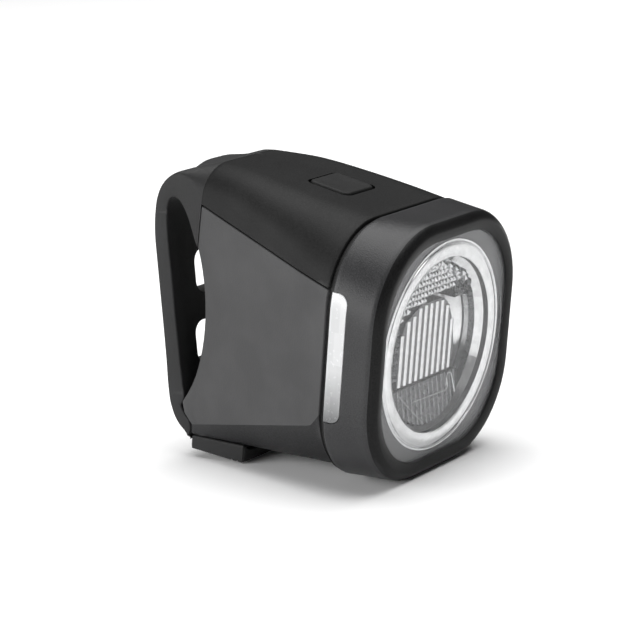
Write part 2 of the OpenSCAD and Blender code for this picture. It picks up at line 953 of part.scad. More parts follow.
module usb_cover() {
    color("#1a1a1b")
        on_flank() {
            block([-flap_t, -flap_len / 2, flap_hinge_z], [0, flap_len / 2, flap_h / 2]);
            translate([-flap_hinge_r, flap_len / 2, flap_hinge_z])
                rotate([90, 0, 0])
                    cylinder(r = flap_hinge_r, h = flap_len);
            block([-flap_t - plug_t, -plug_len / 2, -plug_h / 2], [-flap_t + eps, plug_len / 2, plug_h / 2]);
        }
}

module battery_cell() {
    color("#5b7fa6")
        block(
            [-battery_w / 2, battery_front_y, battery_low_z],
            [battery_w / 2, battery_rear_y, battery_top_z]
        );
}

module battery_pad() {
    color("#3d3d40")
        along_x(-battery_pad_half, battery_pad_half)
            polygon([
                [battery_front_y, belly_z(battery_front_y) + wall + slip / 2],
                [battery_rear_y, belly_z(battery_rear_y) + wall + slip / 2],
                [battery_rear_y, battery_low_z], [battery_front_y, battery_low_z]
            ]);
}

module battery_leads() {
    color("#a8322a")
        for (sx = [-1, 1])
            rod_z(battery_lead_r, battery_top_z, board_low_z, sx * battery_lead_x, battery_lead_y);
}

module led_leads() {
    turn_y = bulkhead_back_y + lead_r + slip;
    color("#a8322a")
        for (sx = [-1, 1]) {
            rod_y(lead_r, led_board_front_y + led_board_len - lead_grip, turn_y, sx * lead_x, lead_z);
            translate([sx * lead_x, turn_y, lead_z])
                sphere(lead_r);
            rod_z(lead_r, lead_z, board_low_z, sx * lead_x, turn_y);
        }
}

module saddle_pad() {
    color("#1b1b1c")
        difference() {
            intersection() {
                seat_hollow(pad_t - slip / 2);
                block(
                    [slip - pad_w / 2, -far, seat_z - pad_h / 2 + slip],
                    [pad_w / 2 - slip, seat_r / 2, seat_z + pad_h / 2 - slip]
                );
            }
            seat_hollow(0);
        }
}

// Height of the strap root's top at t, from its front (0) to its back (1)
function root_top(y, t) = crest(y) - arch_drop * t * t;

// Side view of the rib along the top of the root
module root_rib_side() {
    front_y = root_front_y + 1;
    ridge = [
        for (i = [0 : root_steps])
            let (t = i / root_steps, y = lerp(front_y, root_rear_y, t))
                [y, root_top(y, t) + rib_top * sin(90 * t)]
    ];
    polygon(concat([[root_rear_y, root_floor_z + 1], [front_y, root_floor_z + 1]], ridge));
}

module strap_root() {
    color("#1d1e1f")
        union() {
            difference() {
                union() {
                    skin([
                        for (i = [0 : root_steps])
                            let (t = i / root_steps, y = lerp(root_front_y, root_rear_y, t))
                                station(y, outline(
                                    rear_half, root_top(y, t), root_floor_z,
                                    lerp(rear_top_r, arch_end_r, t), lerp(rear_top_h, arch_end_r, t),
                                    root_edge_r
                                ))
                    ]);
                    along_x(-rib_w / 2, rib_w / 2)
                        root_rib_side();
                }
                seat_hollow(0);
                rod_x(knuckle_r + knuckle_gap, far, pivot_y, pivot_z);
            }
            for (sx = [-1, 1])
                rod_z(peg_r, root_floor_z - peg_len, root_floor_z + 1, sx * peg_x, peg_y);
        }
}

// Outer line of the strap: t runs from the pivot's height down to the lower end
function strap_y(t) = lerp(strap_top_y, strap_low_y, t) + 4 * strap_bow * t * (1 - t);
function strap_z(t) = lerp(pivot_z - knuckle_r, strap_low_z, t);

// Side view of the strap's band and its lower end
module strap_side() {
    front_y = taper_end_y + knuckle_gap;
    polygon(concat(
        [[pivot_y, pivot_z], [pivot_y + knuckle_r - knuckle_sink, pivot_z]],
        [for (i = [0 : band_steps]) [strap_y(i / band_steps), strap_z(i / band_steps)]],
        [
            [lerp(strap_low_y, front_y, 0.45), strap_low_z - 1.5], [front_y, belly_rear_z],
            [front_y, strap_z(lip_at) - 0.8], [strap_y(lip_at) - strap_t - 0.7, strap_z(lip_at)]
        ],
        [
            for (i = [band_steps - 2 : -1 : 0])
                [strap_y(i / band_steps) - strap_t, strap_z(i / band_steps)]
        ],
        [[pivot_y - 0.4, pivot_z - knuckle_r + knuckle_sink]]
    ));
}

// Side view of the rib behind the arch: thick at the pivot's height, fading out downwards
module rib_side() {
    polygon(concat(
        [
            [pivot_y, pivot_z], [pivot_y + knuckle_r + rib_back * 0.8, pivot_z + knuckle_r * 0.6],
            [pivot_y + knuckle_r + rib_back + 0.6, pivot_z]
        ],
        [
            for (i = [0 : rib_steps])
                let (t = rib_end * i / rib_steps)
                    [strap_y(t) + rib_back * (1 - i / rib_steps), strap_z(t)]
        ],
        [for (i = [rib_steps : -1 : 0]) let (t = rib_end * i / rib_steps) [strap_y(t) - 1, strap_z(t)]]
    ));
}

module strap() {
    color("#1a1a1b")
        difference() {
            union() {
                along_x(-rear_half, rear_half)
                    strap_side();
                rod_x(knuckle_r, rear_half, pivot_y, pivot_z);
                along_x(-rib_w / 2, rib_w / 2)
                    rib_side();
            }
            for (k = [0, 1])
                translate([0, 0, slot_z - k * slot_pitch])
                    along_y(0, far)
                        rounded_rect((slot_w + k * slot_grow) / 2, slot_h / 2, slot_r);
            rod_x(tail_knuckle_r + knuckle_gap, far, tail_pivot_y, tail_pivot_z);
        }
}

module strap_tail() {
    color("#1a1a1b")
        difference() {
            union() {
                block([-tail_half, tail_front_y, tail_low_z], [tail_half, tail_rear_y, tail_top_z]);
                rod_x(tail_knuckle_r, tail_half, tail_pivot_y, tail_pivot_z);
                block(
                    [-tail_half, tail_rear_y - eps, tail_pivot_z - tail_knuckle_r],
                    [tail_half, tail_pivot_y, tail_pivot_z]
                );
            }
            block(
                [-hook_w / 2 - 0.4, tail_slot_front_y, tail_low_z - 1],
                [hook_w / 2 + 0.4, tail_slot_rear_y, tail_top_z + 1]
            );
        }
}

module strap_hook() {
    floor_z = belly_z(hook_front_y - hook_flange) + wall;
    color("#303133") {
        block(
            [-hook_w / 2, hook_front_y, belly_rear_z - hook_h],
            [hook_w / 2, hook_rear_y, floor_z + hook_flange_t]
        );
        block(
            [-hook_w / 2 - hook_flange, hook_front_y - hook_flange, floor_z + slip / 2],
            [hook_w / 2 + hook_flange, hook_rear_y, floor_z + hook_flange_t]
        );
    }
}

front_bezel();
clear_lens();
lens_gasket();
reflector();
led_emitter();
led_board();
led_board_screws();
heat_sink();
side_window_left();
side_window_right();
seam_gasket();
bezel_screws();
lower_housing();
top_cover();
power_button();
button_seal();
tact_switch();
switch_plunger();
main_board();
board_components();
board_screws();
usb_socket();
usb_cover();
battery_cell();
battery_pad();
battery_leads();
led_leads();
saddle_pad();
strap_root();
strap();
strap_tail();
strap_hook();
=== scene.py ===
"""Bicycle headlight with a strap mount: its dressed pieces, the studio and the camera, in metres."""

import logging
import math
from dataclasses import dataclass
from enum import Enum
from typing import Callable, Optional, Sequence

import bpy
from mathutils import Matrix, Vector


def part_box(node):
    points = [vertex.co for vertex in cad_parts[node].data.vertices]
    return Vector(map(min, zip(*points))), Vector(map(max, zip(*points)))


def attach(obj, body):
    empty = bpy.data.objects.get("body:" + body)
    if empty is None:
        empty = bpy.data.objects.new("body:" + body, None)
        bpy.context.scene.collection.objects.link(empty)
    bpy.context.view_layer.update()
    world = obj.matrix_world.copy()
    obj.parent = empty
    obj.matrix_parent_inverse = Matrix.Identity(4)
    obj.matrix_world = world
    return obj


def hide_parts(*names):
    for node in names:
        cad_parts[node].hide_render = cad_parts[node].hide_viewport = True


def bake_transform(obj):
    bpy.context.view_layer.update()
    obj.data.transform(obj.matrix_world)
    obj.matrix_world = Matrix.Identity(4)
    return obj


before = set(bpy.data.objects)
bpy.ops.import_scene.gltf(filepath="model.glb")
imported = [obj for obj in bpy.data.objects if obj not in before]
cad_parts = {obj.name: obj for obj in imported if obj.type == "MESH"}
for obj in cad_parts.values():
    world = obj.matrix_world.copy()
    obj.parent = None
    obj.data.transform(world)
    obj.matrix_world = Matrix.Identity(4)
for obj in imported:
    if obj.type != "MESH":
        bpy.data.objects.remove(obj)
LOG = logging.getLogger("headlight")

MM = 0.001

Flat = tuple[float, float]
Point = tuple[float, float, float]
Colour = tuple[float, float, float]
Loop = list[Point]
Piece = bpy.types.Object
Tree = bpy.types.NodeTree
Socket = bpy.types.NodeSocket

# Values that noises, and the sharpness of edges, take on these pieces
NOISE_SPAN: Flat = (0.3, 0.7)
CLOUD_SPAN: Flat = (0.35, 0.68)
CLOUD_SIZE = 9.0 * MM
WEAR_SPAN: Flat = (0.53, 0.62)
WEAR_SHARE = 0.5


def lerp(a: float, b: float, t: float) -> float:
    """Return the value between a and b at the share t."""
    return a + (b - a) * t


def even(low: float, high: float, steps: int) -> list[float]:
    """Return the ends of equal steps from low to high."""
    return [lerp(low, high, i / steps) for i in range(steps + 1)]


def between(a: Flat, b: Flat, t: float) -> Flat:
    """Return the flat point between a and b at the share t."""
    return lerp(a[0], b[0], t), lerp(a[1], b[1], t)


def smooth_step(low: float, high: float, value: float) -> float:
    """Return a soft step from 0 at low to 1 at high."""
    t = min(1.0, max(0.0, (value - low) / (high - low)))
    return t * t * (3.0 - 2.0 * t)


def resample(points: Sequence[Flat], count: int) -> list[Flat]:
    """Spread points evenly along a flat line.

    Args:
        points: The corners of the line.
        count: How many points the result has.

    Returns:
        Points at equal distances along the line, with both ends kept.
    """
    reach = [0.0]
    for before, after in zip(points, points[1:]):
        reach.append(reach[-1] + math.dist(before, after))
    result: list[Flat] = []
    k = 0
    for i in range(count):
        goal = reach[-1] * i / (count - 1)
        while k < len(points) - 2 and reach[k + 1] < goal:
            k += 1
        span = reach[k + 1] - reach[k]
        t = 0.0 if span == 0.0 else min(1.0, (goal - reach[k]) / span)
        result.append(between(points[k], points[k + 1], t))
    return result


def curve_at(a: float, b: float, c: float, d: float, t: float) -> float:
    """Return the value of a smooth curve through a to d at the share t between b and c."""
    bend, turn = 2.0 * a - 5.0 * b + 4.0 * c - d, 3.0 * b - a - 3.0 * c + d
    return 0.5 * (2.0 * b + (c - a) * t + bend * t * t + turn * t * t * t)


def spline(points: Sequence[Flat], steps: int) -> list[Flat]:
    """Draw a smooth line through flat points.

    Args:
        points: The points that the line passes through.
        steps: How many pieces each stretch between two points is cut into.

    Returns:
        The points of the smooth line, with both ends kept.
    """
    padded = [points[0], *points, points[-1]]
    line: list[Flat] = []
    for i in range(len(points) - 1):
        near = padded[i : i + 4]
        line += [tuple(curve_at(*(p[n] for p in near), k / steps) for n in (0, 1)) for k in range(steps)]
    line.append(tuple(points[-1]))
    return line


def rounded_loop(half_a: float, half_b: float, radius: float, steps: int = 12, sides: int = 6) -> list[Flat]:
    """Outline of a rounded rectangle around its middle.

    Args:
        half_a: Half of its size along the first direction.
        half_b: Half of its size along the second direction.
        radius: Radius of its corners.
        steps: Pieces in each corner.
        sides: Pieces in each straight side.

    Returns:
        The outline's points, counter-clockwise.
    """
    corners = [
        (half_a - radius, half_b - radius, 0.0),
        (radius - half_a, half_b - radius, 90.0),
        (radius - half_a, radius - half_b, 180.0),
        (half_a - radius, radius - half_b, 270.0),
    ]
    arcs: list[list[Flat]] = []
    for a, b, turn in corners:
        turns = [math.radians(turn + 90.0 * i / steps) for i in range(steps + 1)]
        arcs.append([(a + radius * math.cos(t), b + radius * math.sin(t)) for t in turns])
    outline: list[Flat] = []
    for k, arc in enumerate(arcs):
        start, end = arc[-1], arcs[(k + 1) % 4][0]
        outline.extend(arc)
        outline.extend(between(start, end, i / sides) for i in range(1, sides))
    return outline


def quarter_turn(radius: float, steps: int) -> list[Flat]:
    """Round an edge.

    Args:
        radius: Radius of the edge.
        steps: Pieces in the quarter turn.

    Returns:
        Distances of each point from the two faces that meet at the edge.
    """
    turns = [math.radians(90.0 * i / steps) for i in range(steps + 1)]
    return [(radius * (1.0 - math.cos(a)), radius * (1.0 - math.sin(a))) for a in turns]


def middle_of(loop: Loop) -> Point:
    """Return the mean of a loop's points."""
    return tuple(sum(p[n] for p in loop) / len(loop) for n in range(3))


def mesh_object(name: str, points: Sequence[Point], faces: Sequence[Sequence[int]]) -> Piece:
    """Make an object from points and faces.

    Args:
        name: Name of the object.
        points: Corners of the mesh.
        faces: Corner numbers of each face.

    Returns:
        The new object, linked into the scene.
    """
    mesh = bpy.data.meshes.new(name)
    mesh.from_pydata([Vector(p) for p in points], [], [list(f) for f in faces])
    mesh.validate()
    mesh.update()
    obj = bpy.data.objects.new(name, mesh)
    bpy.context.scene.collection.objects.link(obj)
    return obj


def skin(
    name: str,
    rows: Sequence[Loop],
    closed_rows: bool = False,
    first_cap: Optional[Point] = None,
    last_cap: Optional[Point] = None,
    mirror_caps: bool = False,
) -> Piece:
    """Stretch a surface over loops of equal length.

    Args:
        name: Name of the object.
        rows: The loops, in order.
        closed_rows: Joins the last loop to the first one.
        first_cap: Middle point of a fan that closes the first loop.
        last_cap: Middle point of a fan that closes the last loop.
        mirror_caps: Closes both ends with strips between the points that mirror each other in X.

    Returns:
        The new object.
    """
    count = len(rows[0])
    points = [p for row in rows for p in row]
    faces: list[list[int]] = []
    links = len(rows) if closed_rows else len(rows) - 1
    for k in range(links):
        here, there = k * count, (k + 1) % len(rows) * count
        for i in range(count):
            j = (i + 1) % count
            faces.append([here + i, here + j, there + j, there + i])
    for cap, start, turn in ((first_cap, 0, True), (last_cap, (len(rows) - 1) * count, False)):
        if cap is not None:
            points.append(cap)
            for i in range(count):
                edge = [start + i, start + (i + 1) % count]
                faces.append([len(points) - 1, *(edge[::-1] if turn else edge)])
        elif mirror_caps:
            half = count // 2
            for i in range(half):
                near, far = (count - i) % count, count - i - 1
                strip = [start + i, start + i + 1, start + far, start + near]
                corners = list(dict.fromkeys(strip))
                faces.append(corners[::-1] if turn else corners)
    obj = mesh_object(name, points, faces)
    turn_outwards(obj)
    return obj


def turn_outwards(obj: Piece) -> None:
    """Flip a closed mesh whose volume comes out negative.

    Args:
        obj: The object with the mesh.
    """
    mesh = obj.data
    volume = 0.0
    for face in mesh.polygons:
        corners = [mesh.vertices[v].co for v in face.vertices]
        for i in range(1, len(corners) - 1):
            volume += corners[0].dot(corners[i].cross(corners[i + 1]))
    if volume < 0.0:
        mesh.flip_normals()


def bake_modifiers(obj: Piece) -> None:
    """Turn the modified shape of an object into its own mesh.

    Args:
        obj: The object.
    """
    graph = bpy.context.evaluated_depsgraph_get()
    graph.update()
    shaped = bpy.data.meshes.new_from_object(obj.evaluated_get(graph))
    old = obj.data
    obj.modifiers.clear()
    obj.data = shaped
    bpy.data.meshes.remove(old)


def cut(obj: Piece, cutter: Piece) -> None:
    """Take the volume of a cutter away from an object and delete the cutter.

    Args:
        obj: The object.
        cutter: The closed mesh to take away.
    """
    change = obj.modifiers.new("cut", "BOOLEAN")
    change.operation = "DIFFERENCE"
    change.solver = "EXACT"
    change.object = cutter
    bake_modifiers(obj)
    bpy.data.objects.remove(cutter)


def shade(obj: Piece, angle: float) -> None:
    """Shade an object smoothly, apart from edges sharper than an angle in degrees."""
    obj.data.shade_smooth()
    obj.data.set_sharp_from_angle(angle=math.radians(angle))


def prism(name: str, outline: Sequence[Flat], place: Callable[[Flat, float], Point], ends: Flat) -> Piece:
    """Make a straight solid from a flat outline.

    Args:
        name: Name of the object.
        outline: The outline's points.
        place: Turns an outline point and a distance along the solid into a point.
        ends: Distances of its two ends.

    Returns:
        The new object.
    """
    middle = (sum(p[0] for p in outline) / len(outline), sum(p[1] for p in outline) / len(outline))
    rows = [[place(p, end) for p in outline] for end in ends]
    return skin(name, rows, first_cap=place(middle, ends[0]), last_cap=place(middle, ends[1]))


def dress(obj: Piece, finish: "Finish", slot: str, body: str, *nodes: str, angle: float = 35.0) -> None:
    """Shade a piece, give it its finish, attach it to its body and hide the nodes that it replaces.

    Args:
        obj: The piece.
        finish: Its surface.
        slot: Not used.
        body: The body that carries it.
        *nodes: The nodes that it replaces.
        angle: Edges sharper than this, in degrees, stay sharp.
    """
    shade(obj, angle)
    obj.data.materials.clear()
    obj.data.materials.append(finish.material())
    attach(obj, body)
    if nodes:
        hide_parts(*nodes)
    LOG.info("piece %s rides on %s with %s", obj.name, body, finish.name)


class Grain(Enum):
    """Texture that a surface takes from its mould or its making."""

    SPARK = "spark eroded"
    SILK = "fine matte"
    POLISH = "polished"
    ROLLED = "rolled"

    @property
    def speck(self) -> float:
        """Share of the paler specks in a moulded surface."""
        return 0.35 if self is Grain.SPARK else 0.12

    @property
    def stretch(self) -> Point:
        """Scale of the marks along each axis: rolling leaves fine lines across Z."""
        return (1.0, 1.0, 14.0) if self is Grain.ROLLED else (1.0, 1.0, 1.0)


class Finish:
    """A procedural surface that is made once and shared."""

    name: str

    def material(self) -> bpy.types.Material:
        """Return the material, made on the first call.

        Returns:
            The shared material.
        """
        found = bpy.data.materials.get(self.name)
        if found is None:
            found = bpy.data.materials.new(self.name)
            found.use_nodes = True
            self.build(found.node_tree)
        return found

    def build(self, tree: Tree) -> None:
        """Lay out the nodes of the material."""
        raise NotImplementedError

    @staticmethod
    def noise(tree: Tree, size: float, detail: float = 3.0, stretch: Point = (1.0, 1.0, 1.0)) -> Socket:
        """Add a noise in object space.

        Args:
            tree: Where the nodes go.
            size: Size of one grain.
            detail: How many finer layers it has.
            stretch: Scale along each axis.

        Returns:
            The noise's value.
        """
        place = tree.nodes.new("ShaderNodeTexCoord")
        scale = tree.nodes.new("ShaderNodeMapping")
        scale.inputs["Scale"].default_value = stretch
        grain = tree.nodes.new("ShaderNodeTexNoise")
        grain.inputs["Scale"].default_value = 1.0 / size
        grain.inputs["Detail"].default_value = detail
        tree.links.new(place.outputs["Object"], scale.inputs["Vector"])
        tree.links.new(scale.outputs["Vector"], grain.inputs["Vector"])
        return grain.outputs["Fac"]

    @staticmethod
    def spread(tree: Tree, source: Socket, low: float, high: float, span: Flat = NOISE_SPAN) -> Socket:
        """Map a value to a range.

        Args:
            tree: Where the nodes go.
            source: The value.
            low: Result at the start of the span.
            high: Result at the end of the span.
            span: The values that are mapped.

        Returns:
            The mapped value.
        """
        change = tree.nodes.new("ShaderNodeMapRange")
        for name, value in zip(("From Min", "From Max", "To Min", "To Max"), (*span, low, high)):
            change.inputs[name].default_value = value
        tree.links.new(source, change.inputs["Value"])
        return change.outputs["Result"]

    @staticmethod
    def ramp(tree: Tree, source: Socket, span: Flat, low: Colour, high: Colour) -> Socket:
        """Colour a value.

        Args:
            tree: Where the nodes go.
            source: The value.
            span: The values at which the two colours are reached.
            low: Colour of the lower value.
            high: Colour of the upper value.

        Returns:
            The colour.
        """
        node = tree.nodes.new("ShaderNodeValToRGB")
        for element, place, colour in zip(node.color_ramp.elements, span, (low, high)):
            element.position = place
            element.color = (*colour, 1.0)
        tree.links.new(source, node.inputs["Fac"])
        return node.outputs["Color"]

    @staticmethod
    def mix(tree: Tree, share: Socket, base: Socket, over: Colour) -> Socket:
        """Mix a colour into another by a varying share.

        Args:
            tree: Where the nodes go.
            share: Share of the mixed-in colour.
            base: The colour that it goes into.
            over: The mixed-in colour.

        Returns:
            The mixed colour.
        """
        node = tree.nodes.new("ShaderNodeMix")
        node.data_type = "RGBA"
        tree.links.new(share, node.inputs["Factor"])
        tree.links.new(base, node.inputs["A"])
        node.inputs["B"].default_value = (*over, 1.0)
        return node.outputs["Result"]

    @staticmethod
    def emboss(tree: Tree, height: Socket, depth: float) -> None:
        """Raise the surface by a value.

        Args:
            tree: Where the nodes go.
            height: The value.
            depth: Height of the relief.
        """
        bump = tree.nodes.new("ShaderNodeBump")
        bump.inputs["Strength"].default_value = 1.0
        bump.inputs["Distance"].default_value = depth
        tree.links.new(height, bump.inputs["Height"])
        tree.links.new(bump.outputs["Normal"], tree.nodes["Principled BSDF"].inputs["Normal"])


@dataclass(frozen=True)
class Moulded(Finish):
    """Moulded plastic or rubber: uneven tone, grain, and paler worn edges."""

    name: str
    deep: Colour
    pale: Colour
    worn: Colour
    rough: Flat
    grain: Grain = Grain.SILK
    grain_size: float = 0.25 * MM
    relief: float = 0.02 * MM
    specular: float = 0.5
    sheen: float = 0.0

    def build(self, tree: Tree) -> None:
        """Lay out the nodes of the material.

        Args:
            tree: Where the nodes go.
        """
        shader = tree.nodes["Principled BSDF"]
        shader.inputs["Specular IOR Level"].default_value = self.specular
        shader.inputs["Sheen Weight"].default_value = self.sheen
        cloud = self.noise(tree, CLOUD_SIZE)
        tone = self.ramp(tree, cloud, CLOUD_SPAN, self.deep, self.pale)
        fine = self.noise(tree, self.grain_size, 2.0)
        speck = self.spread(tree, fine, 0.0, self.grain.speck)
        tone = self.mix(tree, speck, tone, self.worn)
        edge = tree.nodes.new("ShaderNodeNewGeometry")
        wear = self.spread(tree, edge.outputs["Pointiness"], 0.0, WEAR_SHARE, WEAR_SPAN)
        tone = self.mix(tree, wear, tone, self.worn)
        tree.links.new(tone, shader.inputs["Base Color"])
        tree.links.new(self.spread(tree, fine, *self.rough), shader.inputs["Roughness"])
        self.emboss(tree, fine, self.relief)


@dataclass(frozen=True)
class Plated(Finish):
    """Metal or metallised plastic with a faint haze and making marks."""

    name: str
    deep: Colour
    pale: Colour
    rough: Flat
    grain: Grain = Grain.POLISH
    grain_size: float = 1.2 * MM
    relief: float = 0.004 * MM
    metallic: float = 1.0

    def build(self, tree: Tree) -> None:
        """Lay out the nodes of the material.

        Args:
            tree: Where the nodes go.
        """
        shader = tree.nodes["Principled BSDF"]
        shader.inputs["Metallic"].default_value = self.metallic
        haze = self.noise(tree, self.grain_size, 4.0, self.grain.stretch)
        tone = self.ramp(tree, haze, NOISE_SPAN, self.deep, self.pale)
        tree.links.new(tone, shader.inputs["Base Color"])
        tree.links.new(self.spread(tree, haze, *self.rough), shader.inputs["Roughness"])
        self.emboss(tree, haze, self.relief)


@dataclass(frozen=True)
class Clear(Finish):
    """Clear or frosted plastic with flat facets, which shows more at a glancing angle."""

    name: str
    deep: Colour
    pale: Colour
    rough: Flat
    straight: float
    glancing: float
    facet: Flat = (40.0 * MM, 40.0 * MM)
    # foot and fade: the colour that the lower part turns to and the heights over which it turns: painted shade, darker
    # towards the bottom
    foot: Colour = (0.9, 0.92, 0.93)
    fade: Flat = (-60.0 * MM, -50.0 * MM)
    specular: float = 0.9
    haze_size: float = 0.8 * MM
    blend: float = 0.25

    def build(self, tree: Tree) -> None:
        """Lay out the nodes of the material.

        Args:
            tree: Where the nodes go.
        """
        shader = tree.nodes["Principled BSDF"]
        shader.inputs["Specular IOR Level"].default_value = self.specular
        place = tree.nodes.new("ShaderNodeTexCoord")
        axes = tree.nodes.new("ShaderNodeSeparateXYZ")
        wall = tree.nodes.new("ShaderNodeCombineXYZ")
        tree.links.new(place.outputs["Object"], axes.inputs["Vector"])
        tree.links.new(axes.outputs["Y"], wall.inputs["X"])
        tree.links.new(axes.outputs["Z"], wall.inputs["Y"])
        cells = tree.nodes.new("ShaderNodeTexBrick")
        for name, value in (
            ("Color1", (*self.deep, 1.0)), ("Color2", (*self.pale, 1.0)), ("Scale", 1.0), ("Mortar Size", 0.0),
            ("Brick Width", self.facet[0]), ("Row Height", self.facet[1]),
        ):
            cells.inputs[name].default_value = value
        tree.links.new(wall.outputs["Vector"], cells.inputs["Vector"])
        # Painted shade: below the fade span the colour turns to the foot colour
        low = self.spread(tree, axes.outputs["Z"], 0.0, 1.0, self.fade[::-1])
        tree.links.new(self.mix(tree, low, cells.outputs["Color"], self.foot), shader.inputs["Base Color"])
        haze = self.noise(tree, self.haze_size)
        tree.links.new(self.spread(tree, haze, *self.rough), shader.inputs["Roughness"])
        glance = tree.nodes.new("ShaderNodeLayerWeight")
        glance.inputs["Blend"].default_value = self.blend
        cover = self.spread(tree, glance.outputs["Facing"], self.straight, self.glancing, (0.0, 1.0))
        tree.links.new(cover, shader.inputs["Alpha"])


@dataclass(frozen=True)
class Backdrop(Finish):
    """Plain matte floor with a faint change of tone."""

    name: str
    deep: Colour
    pale: Colour
    rough: float = 0.9
    cloud_size: float = 0.4

    def build(self, tree: Tree) -> None:
        """Lay out the nodes of the material.

        Args:
            tree: Where the nodes go.
        """
        shader = tree.nodes["Principled BSDF"]
        shader.inputs["Roughness"].default_value = self.rough
        shader.inputs["Specular IOR Level"].default_value = 0.0
        cloud = self.noise(tree, self.cloud_size)
        tone = self.ramp(tree, cloud, NOISE_SPAN, self.deep, self.pale)
        tree.links.new(tone, shader.inputs["Base Color"])


BEZEL_BLACK = Moulded(
    "spark_textured_plastic", (0.015, 0.015, 0.016), (0.022, 0.022, 0.023), (0.06, 0.06, 0.062),
    (0.3, 0.46), Grain.SPARK, 0.2 * MM, 0.035 * MM, 0.3,
)
# Darker copy of the bezel plastic for its forward-facing rim: painted shade for the rim's dark reflection
RIM_PAINTED_SHADE = Moulded(
    "rim_plastic_painted_shade", (0.004, 0.004, 0.004), (0.007, 0.007, 0.007), (0.03, 0.03, 0.031),
    (0.28, 0.42), Grain.SPARK, 0.2 * MM, 0.015 * MM, 0.12,
)
FLANK_BLACK = Moulded(
    "matte_body_plastic", (0.036, 0.036, 0.037), (0.049, 0.049, 0.050), (0.10, 0.10, 0.10),
    (0.5, 0.64), Grain.SILK, 0.3 * MM, 0.025 * MM, 0.3,
)
# Darker copy of the flank plastic for the underside below the crease: painted shade
SKIRT_PAINTED_SHADE = Moulded(
    "skirt_plastic_painted_shade", (0.012, 0.012, 0.013), (0.018, 0.018, 0.019), (0.05, 0.05, 0.051),
    (0.5, 0.64), Grain.SILK, 0.3 * MM, 0.025 * MM, 0.3,
)
COVER_BLACK = Moulded(
    "matte_cover_plastic", (0.006, 0.006, 0.006), (0.010, 0.010, 0.010), (0.045, 0.045, 0.045),
    (0.48, 0.62), Grain.SILK, 0.3 * MM, 0.025 * MM, 0.15,
)
BUTTON_RUBBER = Moulded(
    "button_silicone", (0.006, 0.006, 0.006), (0.010, 0.010, 0.010), (0.04, 0.04, 0.04),
    (0.52, 0.66), Grain.SILK, 0.22 * MM, 0.015 * MM, 0.2, 0.02,
)
STRAP_RUBBER = Moulded(
    "strap_silicone", (0.010, 0.010, 0.010), (0.014, 0.014, 0.015), (0.05, 0.05, 0.051),
    (0.5, 0.66), Grain.SILK, 0.35 * MM, 0.02 * MM, 0.26, 0.03,
)
SEAL_RUBBER = Moulded(
    "seal_rubber", (0.006, 0.006, 0.006), (0.010, 0.010, 0.010), (0.03, 0.03, 0.03),
    (0.6, 0.75), Grain.SILK, 0.3 * MM, 0.02 * MM, 0.3,
)
SWITCH_PLASTIC = Moulded("switch_plastic", (0.03, 0.03, 0.032), (0.05, 0.05, 0.052), (0.12, 0.12, 0.12), (0.4, 0.55))
PLUNGER_PLASTIC = Moulded("plunger_plastic", (0.36, 0.06, 0.03), (0.44, 0.09, 0.05), (0.6, 0.2, 0.14), (0.35, 0.5))
BOARD_GREEN = Moulded("board_mask_green", (0.02, 0.13, 0.06), (0.03, 0.18, 0.08), (0.1, 0.3, 0.17), (0.25, 0.4))
BOARD_WHITE = Moulded("board_mask_white", (0.68, 0.68, 0.66), (0.78, 0.78, 0.75), (0.85, 0.85, 0.83), (0.3, 0.45))
BATTERY_WRAP = Moulded("battery_shrink_wrap", (0.06, 0.15, 0.3), (0.09, 0.2, 0.36), (0.3, 0.46, 0.62), (0.2, 0.35))
LEAD_RED = Moulded("lead_insulation", (0.36, 0.03, 0.02), (0.44, 0.05, 0.03), (0.6, 0.12, 0.1), (0.4, 0.55))
LED_PHOSPHOR = Moulded("led_phosphor", (0.75, 0.6, 0.1), (0.85, 0.72, 0.2), (0.93, 0.86, 0.45), (0.1, 0.2))
CHROME = Plated("metallised_reflector", (0.60, 0.605, 0.61), (0.73, 0.735, 0.74), (0.07, 0.16))
RING_CHROME = Plated("satin_ring", (0.66, 0.665, 0.67), (0.78, 0.785, 0.79), (0.1, 0.2))
FACET_CHROME = Plated("facet_plating", (0.42, 0.425, 0.43), (0.60, 0.605, 0.61), (0.08, 0.18))
RIB_METAL = Plated("shade_rib_plating", (0.17, 0.172, 0.176), (0.25, 0.252, 0.258), (0.16, 0.3))
# Grey plating of the thin rib rail; on the wall's step band it is painted shade
GREY_CHROME_AND_PAINTED_SHADE = Plated("grey_plating_and_painted_shade", (0.34, 0.345, 0.35), (0.46, 0.465, 0.47), (0.16, 0.3))
# Dark metal for the groove, the thin line and the bed between the flutes: painted shade in place of the chrome's dark
# reflections
PAINTED_SHADE_METAL = Plated("painted_shade_metal", (0.09, 0.09, 0.092), (0.16, 0.16, 0.165), (0.3, 0.45))
# Smoked colour of the LED shade; on the wall band and the dim facets it is painted shade
SMOKED_AND_PAINTED_SHADE_METAL = Plated("smoked_shade_and_painted_shade", (0.06, 0.061, 0.063), (0.10, 0.101, 0.104), (0.2, 0.36))
SINK_METAL = Plated("rolled_aluminium", (0.5, 0.51, 0.52), (0.66, 0.67, 0.69), (0.3, 0.45), Grain.ROLLED)
SCREW_METAL = Plated("zinc_plated_steel", (0.48, 0.49, 0.5), (0.62, 0.63, 0.65), (0.25, 0.4))
FRAME_GREY = Moulded("frame_grey_plastic", (0.03, 0.03, 0.031), (0.045, 0.045, 0.047), (0.09, 0.09, 0.094), (0.3, 0.45))
LENS_CLEAR = Clear("clear_lens_plastic", (0.90, 0.92, 0.93), (0.96, 0.97, 0.98), (0.02, 0.05), 0.02, 0.25)
# The window's colour darkens towards its bottom: painted shade
WINDOW_CLEAR = Clear(
    "frosted_window_plastic", (0.50, 0.505, 0.51), (0.64, 0.645, 0.65), (0.16, 0.3), 0.95, 1.0,
    (1.5 * MM, 5.2 * MM), (0.075, 0.077, 0.08), (-9.8 * MM, -1.0 * MM),
)
FLOOR_PALE = Backdrop("pale_floor", (0.94, 0.94, 0.94), (0.96, 0.96, 0.96))


